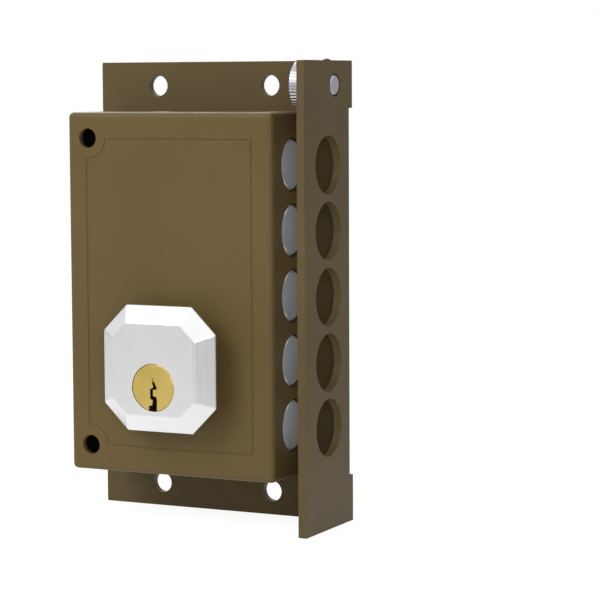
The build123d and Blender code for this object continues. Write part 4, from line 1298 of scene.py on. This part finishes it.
    def barrel(self) -> Shape:
        """Brass body with the bores of its pins.

        Returns:
            The body.
        """
        x, z = self.centre
        folded = sharper(TURNED_ANGLE)
        barrel = Shape.slab(self.outline(), Axis.Y, self.neck_end, self.end)
        barrel.bevel(self.barrel_edge, 2, beyond(self.end))
        barrel.bevel(self.edge, 2, beyond(self.neck_end, -1))
        barrel.bevel(self.corner_edge, 2, lambda e: runs(e, Axis.Y) and folded(e))
        start, end, bore = self.neck_end - PAST, self.end + PAST, self.plug_radius
        barrel.cut(Shape.turned([
            (start, bore), (self.end - self.mouth, bore), (end, bore + self.mouth + PAST),
        ], Axis.Y, self.centre))
        for number in range(self.pin_count):
            place = self.end - self.pin_first - self.pin_pitch * number
            barrel.cut(Shape.rod(Axis.Z, (x, place), z, z + self.fin_height + PAST, self.pin_radius))
        barrel.clean()
        return barrel

    def build(self) -> None:
        """Makes neck and barrel."""
        body = "outer_cylinder_body"
        self.neck().piece("nickel_neck", NICKEL, "lock_case", "nickel", ["cylinder_flange"])
        self.barrel().piece("brass_barrel", BARREL_BRASS, "lock_case", "cylinder_brass", [body])


@dataclass
class ThumbScrew:
    """Knurled drum on a pin in the flange, with a washer between."""

    rib_count: int = 48
    rib_depth: float = 0.14
    # Where a rib's crest and the valley after it lie, in shares of a rib's step.
    crest: Point = (-0.28, 0.28)
    valley: Point = (0.42, 0.58)
    pin_radius: float = 3.0
    pin_play: float = 0.05
    pin_edge: float = 0.3
    drum_length: float = 8.3
    face_recess: float = 0.6
    face_rim: float = 2.0
    edge: float = 0.25
    washer_edge: float = 0.15

    def ribs(self, centre: Point, radius: float) -> list[Point]:
        """Outline of the knurled drum.

        Args:
            centre: Its middle.
            radius: Radius of the ribs' crests.

        Returns:
            Its corners.
        """
        turn = 360.0 / self.rib_count
        points = []
        for number in range(self.rib_count):
            crest = [turn * (number + share) for share in self.crest]
            valley = [turn * (number + share) for share in self.valley]
            points += arc(centre, radius, *crest, steps=2)
            points += arc(centre, radius - self.rib_depth, *valley, steps=1)
        return points

    def drum(self) -> Shape:
        """Drum and pin in one.

        Returns:
            The thumb screw.
        """
        low, high = node_box("thumb_screw")
        radius = (high.z - low.z) / 2
        centre = (low.y + radius, low.z + radius)
        end = low.x + self.drum_length
        drum = Shape.slab(self.ribs(centre, radius), Axis.X, low.x, end)
        drum.combine(Shape.turned([
            (low.x, radius - self.edge), (low.x + self.edge, radius),
            (end - self.edge, radius), (end, radius - self.edge),
        ], Axis.X, centre), Joining.KEEP)
        drum.cut(Shape.rod(Axis.X, centre, low.x - PAST, low.x + self.face_recess, radius - self.face_rim))
        return drum.add(Shape.turned([
            (end - PAST, self.pin_radius), (high.x - self.pin_edge, self.pin_radius),
            (high.x, self.pin_radius - self.pin_edge),
        ], Axis.X, centre))

    def washer(self) -> Shape:
        """Thin ring on the pin.

        Returns:
            The washer.
        """
        low, high = node_box("thumb_washer")
        outer, bore = (high.z - low.z) / 2, self.pin_radius + self.pin_play
        profile = [(low.x, bore), (low.x, outer), (high.x, outer), (high.x, bore)]
        ring = Shape.turned(profile, Axis.X, tuple(node_middle("thumb_screw").yz), ring=True)
        return ring.soften(self.washer_edge, 2, TURNED_ANGLE)

    def build(self) -> None:
        """Makes drum and washer."""
        self.drum().piece("knurled_drum", DRUM_STEEL, "thumb_screw", "thumb_metal", ["thumb_screw"])
        self.washer().piece("thin_washer", DULL_STEEL, "lock_case", "zinc_steel", ["thumb_washer"])


def dress_nodes() -> None:
    """Gives every carried-over node the finish of its slot, or near-black painted shade where it shows only
    through a hole, and each bolt rings round its own axis.
    """
    for name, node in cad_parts.items():
        for holder in node.material_slots:
            slot = holder.material.name.split(".")[0]
            finish = PAINTED_SHADE_BLACK if name in PAINTED_SHADE_NODES else SLOT_FINISHES[slot]
            # Each bolt's turned rings and its painted rim highlight are centred on its own axis.
            if name in BOLTS:
                centre = tuple(node_middle(name).yz)
                finish = dataclasses.replace(finish, name="steel_" + name, centre=centre)
            holder.material = finish.material()


@dataclass
class Studio:
    """Plain pale floor, soft light and the photograph's camera."""

    floor_size: float = 6000.0
    floor_colour: Colour = (0.86, 0.86, 0.86)
    floor_roughness: float = 0.9
    floor_glow: float = 0.8
    # Strength of what each kind of ray sees: light, gloss by its way, and the eye.
    soft_world: float = 0.5
    far_left_gloss: float = 0.66
    left_gloss: float = 0.85
    right_gloss: float = 0.45
    top_gloss: float = 1.2
    floor_near: float = 1.2
    floor_left: float = 0.74
    floor_right: float = 0.42
    floor_eye: float = 1.15
    # Ways, and places on the floor in metres, between which the gloss changes.
    left_span: Point = (-0.95, -0.55)
    side_span: Point = (-0.5, 0.7)
    top_span: Point = (0.1, 0.6)
    floor_span: Point = (0.08, 0.4)
    floor_side_span: Point = (-0.2, 0.25)
    # Name, place, width and watts of each lamp.
    lamps: tuple[tuple[str, Place, float, float], ...] = (
        ("main", (-400.0, -750.0, 650.0), 600.0, 5.5),
        ("fill", (620.0, -950.0, 200.0), 400.0, 2.2),
        ("back", (-650.0, 650.0, 650.0), 700.0, 6.0),
    )
    camera_place: Place = (345.28, -647.76, 65.07)
    yaw: float = 26.042
    pitch: float = 5.400
    roll: float = -0.277
    focal_length: float = 138.515
    sensor: float = 36.0
    sight: float = 20000.0

    def world(self) -> None:
        """White to the eye, graded to gloss, softer as light."""
        world = bpy.data.worlds.new("studio")
        world.use_nodes = True
        bpy.context.scene.world = world
        graph = Graph(world.node_tree)
        way = graph.node("SeparateXYZ", {0: graph.node("TexCoord", {}).outputs["Generated"]}).outputs
        left = graph.level(way["X"], self.far_left_gloss, self.left_gloss, self.left_span)
        side = graph.level(way["X"], left, self.right_gloss, self.side_span)
        sky = graph.level(way["Z"], side, self.top_gloss, self.top_span)
        light = graph.level(graph.seen("Is Glossy Ray", "Is Transmission Ray"), self.soft_world, sky)
        whole = graph.level(graph.seen("Is Camera Ray"), light, 1.0)
        graph.feed(graph.tree.nodes["Background"], {"Color": (1.0, 1.0, 1.0, 1.0), "Strength": whole})

    def floor_material(self) -> bpy.types.Material:
        """Pale to light, and near white to the eye and to gloss close to the lock.

        Returns:
            The material.
        """
        recipe = Recipe("pale_floor")
        recipe.feed(recipe.shader, {
            "Base Color": (*self.floor_colour, 1.0), "Roughness": self.floor_roughness,
        })
        away = recipe.node("VectorMath", {0: recipe.where}, operation="LENGTH").outputs["Value"]
        across = recipe.along(Axis.X)
        far = recipe.level(across, self.floor_left, self.floor_right, self.floor_side_span)
        spread = recipe.level(away, self.floor_near, far, self.floor_span)
        strength = recipe.level(recipe.seen("Is Camera Ray"), spread, self.floor_eye)
        seen = recipe.seen("Is Camera Ray", "Is Glossy Ray", "Is Transmission Ray")
        mix = recipe.node("MixShader", {
            "Fac": recipe.node("Math", {0: seen, 1: self.floor_glow}, operation="MULTIPLY").outputs[0],
            1: recipe.shader.outputs[0],
            2: recipe.node("Emission", {"Strength": strength}).outputs[0],
        })
        recipe.feed(recipe.tree.nodes["Material Output"], {"Surface": mix.outputs[0]})
        return recipe.material

    def floor(self) -> None:
        """Pale floor under the lock, which keeps its shadow."""
        form = bmesh.new()
        bmesh.ops.create_grid(form, x_segments=1, y_segments=1, size=self.floor_size / 2 * MM)
        bmesh.ops.translate(form, vec=(0.0, 0.0, cad_box[0][2]), verts=form.verts)
        data = bpy.data.meshes.new("floor")
        form.to_mesh(data)
        form.free()
        data.materials.append(self.floor_material())
        floor = placed("floor", data)

    def light(self) -> None:
        """Soft lamps, all turned to the lock's middle."""
        for name, place, size, watts in self.lamps:
            data = bpy.data.lights.new(name, "AREA")
            data.shape = "SQUARE"
            data.size = size * MM
            data.energy = watts
            spot = Vector(place) * MM
            turn = (-spot).to_track_quat("-Z", "Y").to_matrix().to_4x4()
            placed(name, data).matrix_world = Matrix.Translation(spot) @ turn

    def camera(self) -> None:
        """Camera at the photograph's place, with its lens."""
        yaw, pitch, roll = (math.radians(angle) for angle in (self.yaw, self.pitch, self.roll))
        turns = ((yaw, "Z"), (math.pi / 2 - pitch, "X"), (roll, "Z"))
        data = bpy.data.cameras.new("camera")
        data.lens = self.focal_length
        data.sensor_width = self.sensor
        data.clip_end = self.sight * MM
        camera = placed("camera", data)
        camera.matrix_world = Matrix.Translation(Vector(self.camera_place) * MM)
        for angle, axis in turns:
            camera.matrix_world @= Matrix.Rotation(angle, 4, axis)
        bpy.context.scene.camera = camera

    def build(self) -> None:
        """Sets the stage."""
        bpy.context.scene.view_settings.view_transform = "Standard"
        self.world()
        self.floor()
        self.light()
        self.camera()


def main() -> None:
    """Sets the stage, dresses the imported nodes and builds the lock's pieces on their frame."""
    logging.basicConfig(level=logging.INFO, format="%(message)s")
    Studio().build()
    dress_nodes()
    DoorPlate().build()
    BoxCover().build()
    BevelledKnob().build()
    KeyPlug("inner_plug", "knob_plug", "inner_lock_plug", faces_room=True, keyway_end=-29.0).build()
    KeyCylinder().build()
    KeyPlug(
        "outer_plug", "cylinder_plug", "outer_lock_plug", faces_room=False, keyway_end=9.5,
        tail_length=4.8, ring_depth=0.18,
    ).build()
    ThumbScrew().build()


if __name__ == "__main__":
    main()
